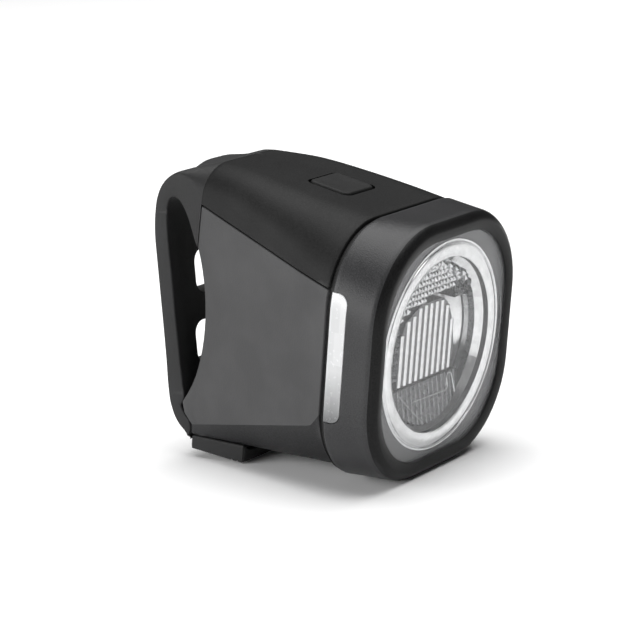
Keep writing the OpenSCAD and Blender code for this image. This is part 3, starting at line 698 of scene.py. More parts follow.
@dataclass(frozen=True)
class BodyForm:
    """Sections of the body from the seam to the strap, as one formula."""

    front_half: float
    rear_half: float
    seam_y: float
    front_y: float
    end_y: float
    crest_z: float
    belly_z: float
    seam_corner: float = 12.6 * MM
    rear_top_width: float = 6.0 * MM
    rear_top_height: float = 5.0 * MM
    rear_belly: float = 3.0 * MM
    seam_step: float = 0.2 * MM
    crest_swell: float = 0.5 * MM
    crest_break: float = 5.8 * MM
    crest_soft: float = 0.25 * MM
    crease_front_z: float = -10.3 * MM
    crease_rear_z: float = -20.2 * MM
    crease_front_width: float = 12.0 * MM
    crease_rear_width: float = 0.3 * MM
    crease_knee: float = 0.82
    crease_end: float = 1.6 * MM
    crease_fade: float = 0.08
    crease_least: float = 0.1 * MM
    root_lean: float = 0.05
    parting_front_drop: float = 9.7 * MM
    parting_rear_drop: float = 4.0 * MM

    @classmethod
    def from_frame(cls) -> "BodyForm":
        """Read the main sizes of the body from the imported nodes.

        Returns:
            The form.
        """
        gasket_low, gasket_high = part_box("seam_gasket")
        cover_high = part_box("top_cover")[1]
        return cls(
            front_half=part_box("front_bezel")[1][0],
            rear_half=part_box("strap")[1][0],
            seam_y=(gasket_low[1] + gasket_high[1]) / 2.0,
            front_y=gasket_high[1],
            end_y=cover_high[1],
            crest_z=cover_high[2],
            belly_z=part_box("lower_housing")[0][2],
        )

    def taper(self, y: float) -> float:
        """Share of the way from the seam to the back end."""
        return min(1.0, (y - self.seam_y) / (self.end_y - self.seam_y))

    def flank(self, y: float) -> float:
        """Half width of the body."""
        return lerp(self.front_half, self.rear_half, self.taper(y))

    def crest(self, y: float) -> float:
        """Height of the top: a straight slope from the seam, a soft break and a flat back.

        Args:
            y: Place of the section.

        Returns:
            The height.
        """
        flat = self.crest_z + self.crest_swell
        share = (y - self.seam_y) / (-self.crest_break - self.seam_y)
        slope = lerp(self.front_half - self.seam_step, flat, share)
        return (slope + flat - math.hypot(slope - flat, self.crest_soft)) / 2.0

    def root_line(self, z: float) -> float:
        """Place of the joint between the body and the strap's root at a height."""
        return self.end_y + self.root_lean * (self.crest_z - z)

    def belly(self, y: float) -> float:
        """Height of the underside."""
        return lerp(-self.front_half, self.belly_z, self.taper(y))

    def top_corner(self, y: float) -> Flat:
        """Width and height of the upper corners."""
        eased = 1.0 - (1.0 - self.taper(y)) ** 2
        return (
            lerp(self.seam_corner, self.rear_top_width, eased),
            lerp(self.seam_corner, self.rear_top_height, eased),
        )

    def belly_corner(self, y: float) -> float:
        """Radius of the lower corners."""
        return lerp(self.seam_corner, self.rear_belly, self.taper(y))

    def parting(self, y: float) -> float:
        """Height of the line between cover and housing."""
        share = (y - self.seam_y) / (self.end_y - self.seam_y)
        return self.front_half - lerp(self.parting_front_drop, self.parting_rear_drop, share)

    def crease_share(self, y: float) -> float:
        """How sharp the crease is: not at all at the seam, and fully a little behind it."""
        return smooth_step(0.0, self.crease_fade, self.taper(y))

    def hard_crease(self, y: float) -> float:
        """Height of the crease where it is sharp."""
        return lerp(self.crease_front_z, self.crease_rear_z, self.taper(y))

    def crease(self, y: float) -> float:
        """Height of the crease above the underside; at the seam it fades into the round corner."""
        return lerp(self.belly(y) + self.belly_corner(y), self.hard_crease(y), self.crease_share(y))

    def width_at(self, y: float, z: float, inset: float = 0.0) -> float:
        """Half width of a section at a height.

        Args:
            y: Place of the section.
            z: Height in the section.
            inset: How far inside the surface the line runs.

        Returns:
            The distance from the middle plane.
        """
        half, high, low = self.flank(y) - inset, self.crest(y) - inset, self.belly(y) + inset
        top_w, top_h = (size - inset for size in self.top_corner(y))
        belly = self.belly_corner(y) - inset
        if z > high - top_h:
            share = min(1.0, (z - high + top_h) / top_h)
            return half - top_w + top_w * math.sqrt(1.0 - share * share)
        if z < low + belly:
            share = min(1.0, (low + belly - z) / belly)
            return half - belly + belly * math.sqrt(1.0 - share * share)
        return half

    def lower_line(self, y: float, start_z: float, inset: float, steps: int = 16) -> list[Flat]:
        """Right side of a section from a height down to the middle of the underside.

        Args:
            y: Place of the section.
            start_z: Height where the line starts.
            inset: How far inside the surface the line runs.
            steps: Pieces in each stretch.

        Returns:
            Points in X and Z.
        """
        half, low = self.flank(y) - inset, self.belly(y) + inset
        belly, crease = self.belly_corner(y) - inset, self.hard_crease(y)
        width = lerp(self.crease_front_width, self.crease_rear_width, self.taper(y))
        reach = max(self.crease_least, width - inset)
        knee = Vector((half - reach * self.crease_knee, lerp(crease, low, self.crease_knee)))
        bottom, end = Vector((half - reach, low)), Vector((half - reach - self.crease_end, low))
        pairs: list[tuple[Flat, Flat]] = []
        for i in range(steps):
            soft_z, hard_z = lerp(start_z, low + belly, i / steps), lerp(start_z, crease, i / steps)
            soft = (self.width_at(y, soft_z, inset), soft_z)
            pairs.append((soft, (self.width_at(y, max(0.0, hard_z), inset), hard_z)))
        for i in range(steps + 1):
            a, share, turn = math.pi / 2.0 * i / steps, min(1.0, 2.0 * i / steps), max(0.0, 2.0 * i / steps - 1.0)
            soft = (half - belly + belly * math.cos(a), low + belly - belly * math.sin(a))
            facet = Vector((half, crease)).lerp(knee, share)
            hard = facet.lerp(bottom, turn).lerp(bottom.lerp(end, turn), turn)
            pairs.append((soft, (hard.x, hard.y)))
        sharp = self.crease_share(y)
        return [*(between(soft, hard, sharp) for soft, hard in pairs), (0.0, low)]

    def upper_line(self, y: float, start_z: float, inset: float, steps: int = 20) -> list[Flat]:
        """Right side of a section from a height up to the middle of the top.

        Args:
            y: Place of the section.
            start_z: Height where the line starts.
            inset: How far inside the surface the line runs.
            steps: Pieces in the corner.

        Returns:
            Points in X and Z.
        """
        half, high = self.flank(y) - inset, self.crest(y) - inset
        top_w, top_h = (size - inset for size in self.top_corner(y))
        foot = high - top_h
        start = math.asin(min(1.0, max(0.0, (start_z - foot) / top_h)))
        line = [(self.width_at(y, start_z, inset), start_z)] if start_z < foot else []
        for i in range(steps + 1):
            a = lerp(start, math.pi / 2.0, i / steps)
            line.append((half - top_w + top_w * math.cos(a), foot + top_h * math.sin(a)))
        line.append((0.0, high))
        return line


@dataclass
class HousingShell:
    """Lower housing and top cover, with the seat, the button pocket and the charging recess."""

    form: BodyForm
    edge: float = 0.3 * MM
    cover_back_edge: float = 0.04 * MM
    lip: float = 0.22 * MM
    parting_gap: float = 0.2 * MM
    root_gap: float = 0.02 * MM
    seat_radius: float = 28.0 * MM
    seat_z: float = -2.0 * MM
    foot_z: float = -17.0 * MM
    foot_slope: Flat = (-17.9 * MM, -20.1 * MM)
    foot_reach: float = 2.2 * MM
    pad_depth: float = 1.2 * MM
    pad_half_width: float = 9.0 * MM
    pad_half_height: float = 10.0 * MM
    rows: int = 44
    side_points: int = 40
    corner_points: int = 18
    pocket_gap: float = 0.42 * MM
    pocket_depth: float = 3.0 * MM
    pocket_corner: float = 1.5 * MM
    flap_gap: float = 0.3 * MM
    recess_depth: float = 1.2 * MM
    mouth_gap: float = 0.3 * MM
    skirt_from: float = 1.0 * MM
    skirt_slack: float = 0.01 * MM
    lip_clear: float = 1.05
    settle_rounds: int = 6
    slab_rows: int = 24
    pad_proud: float = 1.0 * MM
    recess_corner: float = 0.9 * MM
    recess_out: float = 3.0 * MM
    mouth_round: float = 0.98
    mouth_ends: Flat = (0.2 * MM, 8.0 * MM)
    pocket_over: Flat = (1.0 * MM, 2.0 * MM)

    def back_y(self, z: float) -> float:
        """Back surface of the housing: the strap's joint, the seat, and a bevelled foot.

        Args:
            z: Height on the back surface.

        Returns:
            The place of the surface.
        """
        rise = max(z, self.foot_z) - self.seat_z
        seat = self.seat_radius - math.sqrt(self.seat_radius**2 - rise * rise)
        if z > 0.0:
            return min(seat, self.form.root_line(z) - self.root_gap)
        top, low = self.foot_slope
        return seat - self.foot_reach * min(1.0, max(0.0, (top - z) / (top - low)))

    def side(self, y: float, inset: float, upper: bool) -> list[Flat]:
        """Right half of a shell's section, from the middle of its lid to the far middle.

        Args:
            y: Place of the section.
            inset: How far inside the surface the line runs.
            upper: Whether it is the top cover's section.

        Returns:
            Points in X and Z, the same number in every section.
        """
        if upper:
            line = self.form.upper_line(y, self.form.parting(y) + self.parting_gap + inset, inset)
        else:
            line = self.form.lower_line(y, self.form.parting(y) - inset, inset)
        x, z = line[0]
        sign = 1.0 if upper else -1.0
        corner = [(x - inward, z + sign * rise) for rise, inward in quarter_turn(self.lip, 3)[:-1]]
        lid = [(0.0, z), (x * 0.5, z), *corner]
        rest = [(x, z + sign * self.lip)]
        rest += [p for p in line if sign * (p[1] - z) > self.lip * self.lip_clear or p[0] == 0.0]
        if upper:
            return [*lid, *resample(rest, self.side_points)]
        split = len(rest) - self.corner_points
        flank = resample(rest[: split + 1], self.side_points - self.corner_points + 1)
        return [*lid, *flank, *resample(rest[split:], self.corner_points)[1:]]

    def stations(self, back_edge: float) -> list[tuple[float, float, float]]:
        """Rows of a shell.

        Args:
            back_edge: Rounding of the back end.

        Returns:
            Share of the length, distance from the end, and inset of each row.
        """
        front = [(0.0, *turn) for turn in quarter_turn(self.edge, 4)[:-1]]
        rear = [(1.0, *turn) for turn in reversed(quarter_turn(back_edge, 4)[:-1])]
        middle = [(i / self.rows, 0.0, 0.0) for i in range(1, self.rows)]
        return [*front, *middle, *rear]

    def loops(self, upper: bool) -> list[Loop]:
        """Closed loops of a shell, from the seam to its back surface.

        Args:
            upper: Whether it is the top cover.

        Returns:
            The loops, right half first and then its mirror image.
        """
        start, end = self.form.front_y, self.form.end_y
        count = len(self.side(end, 0.0, upper))
        back_edge = self.cover_back_edge if upper else self.edge
        ends = [end] * count
        for j in range(count):
            for _ in range(self.settle_rounds):
                z = self.side(ends[j], 0.0, upper)[j][1]
                ends[j] = self.form.root_line(z) - self.root_gap if upper else self.back_y(z)
        result: list[Loop] = []
        for share, back, inset in self.stations(back_edge):
            right: Loop = []
            for j in range(count):
                low, high = start + self.edge, ends[j] - back_edge
                y = lerp(low, high, share)
                if share == 0.0:
                    y = start + back
                elif share == 1.0:
                    y = ends[j] - back
                x, z = self.side(y, inset, upper)[j]
                right.append((x, y, z))
            left = [(-x, y, z) for x, y, z in right[-2:0:-1]]
            result.append([*right, *left])
        return result

    def curved_slab(self, name: str, depth: float, half_x: float, half_z: float, proud: float) -> Piece:
        """Make a slab that follows the seat.

        Args:
            name: Name of the object.
            depth: How far it goes into the housing.
            half_x: Half of its width.
            half_z: Half of its height.
            proud: How far it stands out of the seat.

        Returns:
            The new object.
        """
        rows: list[Loop] = []
        for z in even(-half_z, half_z, self.slab_rows):
            angle = math.asin(z / self.seat_radius)
            loop: Loop = []
            for reach, x in ((depth, half_x), (-proud, half_x), (-proud, -half_x), (depth, -half_x)):
                r = self.seat_radius + reach
                loop.append((x, self.seat_radius - r * math.cos(angle), self.seat_z + r * math.sin(angle)))
            rows.append(loop)
        return skin(name, rows, first_cap=middle_of(rows[0]), last_cap=middle_of(rows[-1]))

    def lower_shell(self) -> Piece:
        """Make the lower housing with the recesses of pad and flap and the charging mouth.

        Returns:
            The housing.
        """
        lower = skin("lower_shell", self.loops(False), mirror_caps=True)
        half = (self.pad_half_width, self.pad_half_height)
        cut(lower, self.curved_slab("pad_recess", self.pad_depth, *half, self.pad_proud))
        flank = FlankPlace.from_form(self.form)
        half = (flank.half_len + self.flap_gap, flank.half_h + self.flap_gap)
        recess = rounded_loop(*half, self.recess_corner, steps=6, sides=1)
        ends = (-self.recess_depth, self.recess_out)
        cut(lower, prism("flap_recess", recess, lambda p, d: flank.at(d, p[0], p[1]), ends))
        low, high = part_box("usb_socket")
        y, z = ((low[n] + high[n]) / 2.0 for n in (1, 2))
        half = tuple((high[n] - low[n]) / 2.0 + self.mouth_gap for n in (1, 2))
        mouth = rounded_loop(*half, half[1] * self.mouth_round, steps=8, sides=1)
        ends = (low[0] - self.mouth_ends[0], high[0] + self.mouth_ends[1])
        cut(lower, prism("charging_mouth", mouth, lambda p, d: (d, y + p[0], z + p[1]), ends))
        return lower

    def paint_skirt_shade(self, lower: Piece) -> None:
        """Give the underside below the crease a painted shade, a darker copy of the flank plastic, with a sharp border.

        Args:
            lower: The lower housing.
        """
        lower.data.materials.append(SKIRT_PAINTED_SHADE.material())
        border: set[tuple[int, int]] = set()
        for face in lower.data.polygons:
            middle = face.center
            # Faces below the crease take the darker plastic: painted shade
            if middle.z < self.form.crease(middle.y) - self.skirt_slack and abs(middle.x) > self.skirt_from:
                face.material_index = 1
                border ^= set(face.edge_keys)
        for edge in lower.data.edges:
            if edge.key in border:
                edge.use_edge_sharp = True

    def upper_shell(self) -> Piece:
        """Make the top cover with the button's pocket.

        Returns:
            The cover.
        """
        upper = skin("upper_shell", self.loops(True), mirror_caps=True)
        low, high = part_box("power_button")
        button = TopButton(self.form)
        half = (button.half_width + self.pocket_gap, button.half_len + self.pocket_gap)
        pocket = rounded_loop(*half, self.pocket_corner, steps=8, sides=3)
        top, y = high[2], (low[1] + high[1]) / 2.0
        ends = (top - self.pocket_depth - self.pocket_over[0], top + self.pocket_over[1])
        cut(upper, prism("button_pocket", pocket, lambda p, d: (p[0], y + p[1], d), ends))
        return upper

    def build(self) -> None:
        """Make both shells and dress them."""
        lower = self.lower_shell()
        dress(lower, FLANK_BLACK, "body_black", "housing", "lower_housing")
        self.paint_skirt_shade(lower)
        upper = self.upper_shell()
        dress(upper, COVER_BLACK, "body_black", "housing", "top_cover")


@dataclass(frozen=True)
class FlankPlace:
    """Place on the right flank: out of it, along it and up."""

    origin: Vector
    out: Vector
    along: Vector
    half_len: float
    half_h: float

    @classmethod
    def from_form(cls, form: BodyForm, length: float = 13.0 * MM, height: float = 6.4 * MM) -> "FlankPlace":
        """Read the place from the socket and the slope of the flank.

        Args:
            form: The body's form.
            length: Length of the charging cover.
            height: Height of the charging cover.

        Returns:
            The place.
        """
        low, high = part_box("usb_socket")
        y, z = (low[1] + high[1]) / 2.0, (low[2] + high[2]) / 2.0
        turn = math.atan2(form.front_half - form.rear_half, form.end_y - form.seam_y)
        return cls(
            Vector((form.flank(y), y, z)), Vector((math.cos(turn), math.sin(turn), 0.0)),
            Vector((-math.sin(turn), math.cos(turn), 0.0)), length / 2.0, height / 2.0,
        )

    def at(self, out: float, along: float, up: float) -> Point:
        """Return the point at these distances from the place."""
        return tuple(self.origin + self.out * out + self.along * along + Vector((0.0, 0.0, up)))


@dataclass
class FrontBezel:
    """Bezel with its rounded rim, the lens opening, and the light windows in its flanks."""

    form: BodyForm
    rim_corner: float = 15.0 * MM
    rim_edge: float = 2.2 * MM
    rim_turn: float = 76.0
    rim_width: float = 3.1 * MM
    rim_slope: float = 0.3 * MM
    lens_corner: float = 12.6 * MM
    wall: float = 1.8 * MM
    ledge_width: float = 1.1 * MM
    edge: float = 0.3 * MM
    # Faces turned further forwards than this take the rim's painted shade
    rim_facing: float = -0.42
    window_low: float = -9.5 * MM
    window_high: float = 11.3 * MM
    window_len: float = 2.9 * MM
    window_corner: float = 1.8 * MM
    window_gap: float = 0.1 * MM
    window_depth: float = 1.7 * MM
    window_rim: float = 0.14 * MM
    window_mesh: float = 0.8 * MM
    window_cut: Flat = (17.0 * MM, 30.0 * MM)
    bevel_from: float = 0.9
    bevel_slope: float = 0.25
    flank_steps: int = 12
    rim_steps: int = 14
    brim_bevel: Flat = (0.1 * MM, 0.03 * MM)
    ledge_thick: float = 1.0 * MM

    def __post_init__(self) -> None:
        """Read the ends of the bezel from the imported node."""
        low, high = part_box("front_bezel")
        self.front_y, self.back_y = low[1], high[1]
        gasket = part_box("lens_gasket")
        self.ledge_y = gasket[1][1]
        self.lens_half = self.form.front_half - self.rim_width

    def corner_at(self, y: float) -> float:
        """Corner radius of the flank, between the seam and the rim."""
        share = (self.back_y - y) / (self.back_y - self.front_y - self.rim_edge)
        return lerp(self.form.seam_corner, self.rim_corner, min(1.0, max(0.0, share)))

    def width_at(self, y: float, z: float) -> float:
        """Half width of the flank at a height.

        Args:
            y: Place of the section.
            z: Height in the section.

        Returns:
            The distance from the middle plane.
        """
        half, r = self.form.front_half, self.corner_at(y)
        over = abs(z) - (half - r)
        return half if over <= 0.0 else half - r + math.sqrt(max(0.0, r * r - over * over))

    def profile(self) -> list[tuple[float, float, float]]:
        """Line around the bezel's wall.

        Returns:
            Place, half size and corner radius of each loop.
        """
        half, seam = self.form.front_half, self.form.seam_corner
        line = [(self.back_y - back, half - inset, seam - inset) for back, inset in quarter_turn(self.edge, 3)]
        for y in even(self.back_y - self.edge, self.front_y + self.rim_edge, self.flank_steps)[1:]:
            line.append((y, half, self.corner_at(y)))
        for turn in even(0.0, self.rim_turn, self.rim_steps)[1:]:
            a = math.radians(turn)
            inset = self.rim_edge * (1.0 - math.cos(a))
            line.append((self.front_y + self.rim_edge * (1.0 - math.sin(a)), half - inset, self.rim_corner - inset))
        brim_y = line[-1][0] + self.rim_slope
        wide, fine = self.brim_bevel
        line.append((brim_y, self.lens_half + wide, self.lens_corner + wide))
        line.append((brim_y + fine, self.lens_half + fine, self.lens_corner))
        line.append((brim_y + wide, self.lens_half, self.lens_corner))
        line.append((self.ledge_y, self.lens_half, self.lens_corner))
        under_y = self.ledge_y + self.ledge_thick
        inner = (self.lens_half - self.ledge_width, self.lens_corner - self.ledge_width)
        cavity = (half - self.wall, seam - self.wall)
        line += [(self.ledge_y, *inner), (under_y, *inner), (under_y, *cavity), (self.back_y, *cavity)]
        return line

    def window_outline(self, grow: float, steps: int = 8) -> list[Flat]:
        """Outline of a window in Y and Z, rounded in front and straight at the seam.

        Args:
            grow: How far it is widened.
            steps: Pieces in each rounded corner.

        Returns:
            The outline's points.
        """
        front, low, high = self.back_y - self.window_len - grow, self.window_low - grow, self.window_high + grow
        r = self.window_corner
        line: list[Flat] = [(self.back_y + 2.0 * grow, low)]
        for z, turn in ((low + r, 270.0), (high - r, 180.0)):
            for i in range(steps + 1):
                a = math.radians(turn - 90.0 * i / steps)
                line.append((front + r + r * math.cos(a), z + r * math.sin(a)))
        line.append((self.back_y + 2.0 * grow, high))
        return line

    def window(self, side: float) -> Piece:
        """Make one window whose face follows the flank.

        Args:
            side: -1 for the left flank and 1 for the right one.

        Returns:
            The window.
        """
        rim = self.window_rim
        rows: list[Loop] = []
        middle_y, middle_z = self.back_y - self.window_len / 2.0, (self.window_low + self.window_high) / 2.0
        outline: list[Flat] = []
        corners = self.window_outline(0.0)
        for a, b in zip(corners, [*corners[1:], corners[0]]):
            pieces = max(1, round(math.dist(a, b) / self.window_mesh))
            outline.extend(between(a, b, i / pieces) for i in range(pieces))
        layers = [(1.0, self.window_depth), (1.0, rim), (1.0, rim * 0.4), (0.97, 0.05 * rim)]
        layers += [(share, 0.0) for share in (0.93, 0.8, 0.6, 0.4, 0.2)]
        for share, depth in layers:
            tall = 1.0 - (1.0 - share) * self.bevel_slope if share > self.bevel_from else share
            loop: Loop = []
            for y, z in outline:
                py, pz = middle_y + (y - middle_y) * share, middle_z + (z - middle_z) * tall
                loop.append((side * (self.width_at(py, pz) - depth), py, pz))
            rows.append(loop)
        inside = (side * (self.width_at(middle_y, middle_z) - self.window_depth), middle_y, middle_z)
        outside = (side * self.width_at(middle_y, middle_z), middle_y, middle_z)
        return skin("window_left" if side < 0.0 else "window_right", rows, first_cap=inside, last_cap=outside)

    def build(self) -> None:
        """Make the bezel and its windows and dress them."""
        rows = [
            [(x, y, z) for x, z in rounded_loop(half, half, corner, steps=14, sides=8)]
            for y, half, corner in self.profile()
        ]
        bezel = skin("bezel", rows, closed_rows=True)
        near, far = self.window_cut
        for ends in ((-far, -near), (near, far)):
            outline = self.window_outline(self.window_gap)
            cut(bezel, prism("window_room", outline, lambda p, d: (d, p[0], p[1]), ends))
        dress(bezel, BEZEL_BLACK, "textured_black", "housing", "front_bezel")
        # Faces turned forwards take the darker plastic: painted shade along the rim
        bezel.data.materials.append(RIM_PAINTED_SHADE.material())
        for face in bezel.data.polygons:
            if face.normal.y < self.rim_facing:
                face.material_index = 1
        for side, node in ((-1.0, "side_window_left"), (1.0, "side_window_right")):
            pane = self.window(side)
            dress(pane, WINDOW_CLEAR, "clear_plastic", "housing", node, angle=50.0)


@dataclass
class LampUnit:
    """Lens, reflector bowl with its bright ring, flutes, facets and the shade over the LED."""

    bezel: FrontBezel
    around: int = 144
    lens_thick: float = 0.65 * MM
    boss_rise: float = 0.4 * MM
    boss_radius: float = 17.35 * MM
    ring_outer: float = 17.3 * MM
    ring_inner: float = 14.4 * MM
    ring_proud: float = 0.95 * MM
    ring_swell: float = 0.3 * MM
    ring_edge: float = 16.9 * MM
    ring_groove: float = 16.55 * MM
    groove_depth: float = 0.1 * MM
    groove_foot: Flat = (14.4 * MM, 0.0)
    band_top: Flat = (13.2 * MM, 0.95 * MM)
    band_foot: Flat = (12.6 * MM, 1.75 * MM)
    step_top: Flat = (12.2 * MM, 2.35 * MM)
    step_foot: Flat = (12.1 * MM, 2.65 * MM)
    wedge_foot: Flat = (10.9 * MM, 4.05 * MM)
    floor_radius: float = 10.2 * MM
    floor_thick: float = 1.2 * MM
    skin_depth: float = 0.05 * MM
    flute_depth: float = 1.85 * MM
    flute_start: float = -7.4 * MM
    flute_pitch: float = 1.65 * MM
    flute_width: float = 0.92 * MM
    flute_rise: float = 0.15 * MM
    flute_low: float = -6.05 * MM
    flute_tops: tuple[float, ...] = (2.5, 4.5, 5.0, 6.0, 6.15, 6.15, 6.15, 6.0, 4.8, 2.2)
    bed_top: tuple[Flat, ...] = (
        (-8.2, 0.6), (-7.4, 2.9), (-6.6, 4.4), (-4.5, 5.4), (-2.4, 6.4), (4.3, 6.4), (5.6, 5.5), (6.6, 4.1), (7.9, 1.4),
        (8.5, -2.0),
    )
    bed_foot: tuple[Flat, ...] = ((-8.2, -6.3), (7.9, -6.3), (8.3, -4.2), (8.5, -2.6))
    facet: float = 0.95 * MM
    facet_rise: float = 0.38 * MM
    facet_reach: float = 13.6 * MM
    facet_foot: tuple[Flat, ...] = (
        (-14.0, -5.5), (-8.5, -5.5), (-8.4, 4.4), (-4.8, 6.0), (-0.4, 6.8), (7.6, 6.9), (7.7, 5.2), (13.0, 5.2),
    )
    dim_left: float = -8.3 * MM
    dim_corner: Flat = (7.4 * MM, 8.2 * MM)
    shade_top: float = -6.5 * MM
    shade_half: float = 9.5 * MM
    shade_reach: float = 13.3 * MM
    shade_pitch: float = 1.3 * MM
    shade_rib: float = 0.3 * MM
    shade_depth: Flat = (1.5 * MM, 0.3 * MM)
    shade_rise: float = 0.1 * MM
    rail_radius: float = 0.11 * MM
    rail_sides: int = 8
    rail_route: tuple[Flat, ...] = (
        (-4.4, -9.0), (0.0, -9.15), (3.8, -9.25), (5.8, -9.3), (6.2, -8.6), (6.2, -7.3), (6.9, -6.7), (7.7, -7.3),
        (8.0, -8.8), (8.2, -10.2),
    )
    rib_route: tuple[Flat, ...] = ((-8.6, -6.9), (-6.4, -8.9), (-4.0, -11.1), (-1.8, -13.0))
    lens_gap: float = 0.05 * MM
    lens_edge: float = 0.2 * MM
    corner_gap: float = 0.1 * MM
    ring_skirt: Flat = (0.1 * MM, 0.5 * MM)
    bowl_back: float = 3.2 * MM
    groove_half: float = 0.05 * MM
    groove_sunk: float = 0.1 * MM
    frame_sunk: float = 0.1 * MM
    frame_lap: float = 0.05 * MM
    bead_steps: int = 8
    ring_steps: int = 32
    wall_steps: int = 4
    plate_steps: int = 14
    plate_back: float = 0.3 * MM
    flute_steps: int = 8
    bed_steps: int = 60
    bed_sunk: float = 0.2 * MM
    facet_gap: float = 0.1 * MM
    facet_lean: Flat = (0.22, 0.18)
    facet_wave: tuple[Flat, Flat] = ((5.1, 2.3), (3.7, -1.9))
    shade_steps: int = 40
    shade_thick: float = 0.6 * MM
    rib_steps: int = 6
    bar_half: Flat = (0.2 * MM, 0.6 * MM)
    bar_corner: float = 0.15 * MM
    bar_up: float = 0.15 * MM
    bar_steps: int = 20

    def __post_init__(self) -> None:
        """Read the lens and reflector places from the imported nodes."""
        bowl_low, bowl_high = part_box("reflector")
        self.lens_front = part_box("clear_lens")[0][1]
        self.lens_half = self.bezel.lens_half - self.lens_gap
        self.plate_corner = self.bezel.lens_corner - self.corner_gap
        self.front_y, self.back_y = bowl_low[1], bowl_high[1]
        self.floor_y = self.back_y - self.floor_thick
        self.ring_y = self.front_y - self.ring_proud
        self.flute_y = self.front_y + self.flute_depth

    def circle(self, radius: float, y: float) -> Loop:
        """Round loop across the beam."""
        turn = 2.0 * math.pi / self.around
        return [(radius * math.cos(turn * i), y, radius * math.sin(turn * i)) for i in range(self.around)]

    def square(self, half: float, corner: float, y: float) -> Loop:
        """Rounded square loop across the beam, with its points at even angles.

        Args:
            half: Half of its size.
            corner: Radius of its corners.
            y: Place along the beam.

        Returns:
            The loop.
        """
        outline = rounded_loop(half, half, corner, steps=40, sides=20)
        angles = [math.atan2(z, x) % (2.0 * math.pi) for x, z in outline]
        order = sorted(range(len(outline)), key=lambda i: angles[i])
        loop: Loop = []
        for i in range(self.around):
            goal = 2.0 * math.pi * i / self.around
            nearest = min(order, key=lambda k: abs(math.remainder(angles[k] - goal, 2.0 * math.pi)))
            radius = math.hypot(*outline[nearest])
            loop.append((radius * math.cos(goal), y, radius * math.sin(goal)))
        return loop

    @staticmethod
    def height_at(line: Sequence[Flat], x: float) -> float:
        """Height of a broken line at a place across the lamp.

        Args:
            line: The line's points in millimetres.
            x: The place, in metres.

        Returns:
            The height, in metres.
        """
        for (x0, z0), (x1, z1) in zip(line, line[1:]):
            if x <= x1 * MM:
                return lerp(z0, z1, max(0.0, (x / MM - x0) / (x1 - x0))) * MM
        return line[-1][1] * MM

    def lens(self) -> Piece:
        """Make the lens: a thin rounded square plate with a raised disc and two fine lines over the ring.

        Returns:
            The lens.
        """
        face, back = self.lens_front, self.lens_front + self.lens_thick
        plate, edge, corner = face + self.boss_rise, self.lens_edge, self.plate_corner
        rows = [
            self.square(self.lens_half, corner, back),
            self.square(self.lens_half, corner, plate + 0.6 * edge),
            self.square(self.lens_half - 0.3 * edge, corner, plate + 0.2 * edge),
            self.square(self.lens_half - edge, corner - edge, plate),
            self.circle(self.boss_radius, plate),
            self.circle(self.boss_radius - 0.4 * edge, plate - 0.7 * edge),
            self.circle(self.boss_radius - 1.2 * edge, face + 0.2 * edge),
        ]
        for radius in (self.ring_edge, self.ring_groove):
            rows.append(self.circle(radius + 0.4 * edge, face))
            rows.append(self.circle(radius, face + 0.5 * edge))
            rows.append(self.circle(radius - 0.4 * edge, face))
        rows += [self.circle(self.ring_inner * share, face) for share in (1.05, 0.95, 0.76, 0.55, 0.34, 0.17)]
        return skin("lens", rows, first_cap=(0.0, back, 0.0), last_cap=(0.0, face, 0.0))

    def wall_line(self) -> list[Flat]:
        """Radius and place of the bowl's wall from the ring to the floor."""
        steps = (self.groove_foot, self.band_top, self.band_foot, self.step_top, self.step_foot, self.wedge_foot)
        return [(radius, self.front_y + depth) for radius, depth in steps] + [(self.floor_radius, self.floor_y)]

    def wall_y(self, radius: float) -> float:
        """Surface of the bowl at a distance from the beam's axis.

        Args:
            radius: The distance.

        Returns:
            The place of the surface.
        """
        line = self.wall_line()
        for (r0, y0), (r1, y1) in zip(line, line[1:]):
            if radius >= r1:
                return lerp(y1, y0, min(1.0, (radius - r1) / (r0 - r1)))
        return self.floor_y

    def bowl(self) -> Piece:
        """Make the reflector bowl with its rounded ring, edge bead, fine groove and stepped wall.

        Returns:
            The bowl.
        """
        ring, groove = self.ring_y, self.groove_depth
        skirt_in, skirt_back = self.ring_skirt
        line: list[Flat] = [(self.floor_radius, self.back_y), (self.ring_inner, self.front_y + self.bowl_back)]
        line += [(self.ring_outer - skirt_in, self.front_y + skirt_back), (self.ring_outer, self.front_y)]
        bead = (self.ring_outer - self.ring_edge) / 2.0
        for i in range(self.bead_steps + 1):
            a = math.pi * i / self.bead_steps
            line.append((self.ring_edge + bead + bead * math.cos(a), ring - groove * math.sin(a)))
        line.append((self.ring_edge - self.groove_half, ring + groove))
        for i, r in enumerate(even(self.ring_edge - 2.0 * self.groove_half, self.ring_inner, self.ring_steps)):
            swell = self.ring_swell * math.sin(math.pi * i / self.ring_steps)
            line.append((r, ring - swell + (groove if abs(r - self.ring_groove) < self.groove_half else 0.0)))
        wall = self.wall_line()
        for start, end in zip(wall, wall[1:]):
            line += [between(start, end, i / self.wall_steps) for i in range(self.wall_steps)]
        line += [(self.floor_radius * share, self.floor_y) for share in (1.0, 0.7, 0.35)]
        rows = [self.circle(r, y) for r, y in line]
        return skin("reflector_bowl", rows, first_cap=(0.0, self.back_y, 0.0), last_cap=(0.0, self.floor_y, 0.0))

    def wall_strip(self, name: str, start: Flat, end: Flat) -> Piece:
        """Make a thin strip round the bowl's wall.

        Args:
            name: Name of the object.
            start: Radius and depth of its edge nearer to the ring.
            end: Radius and depth of its edge nearer to the floor.

        Returns:
            The strip.
        """
        lift = self.skin_depth
        places = [between(start, end, t) for t in even(0.0, 1.0, self.wall_steps)]
        front = [(radius, self.front_y + depth) for radius, depth in places]
        rows = [self.circle(r - lift, y - lift) for r, y in front]
        rows += [self.circle(r + lift, y + lift) for r, y in reversed(front)]
        return skin(name, rows, closed_rows=True)

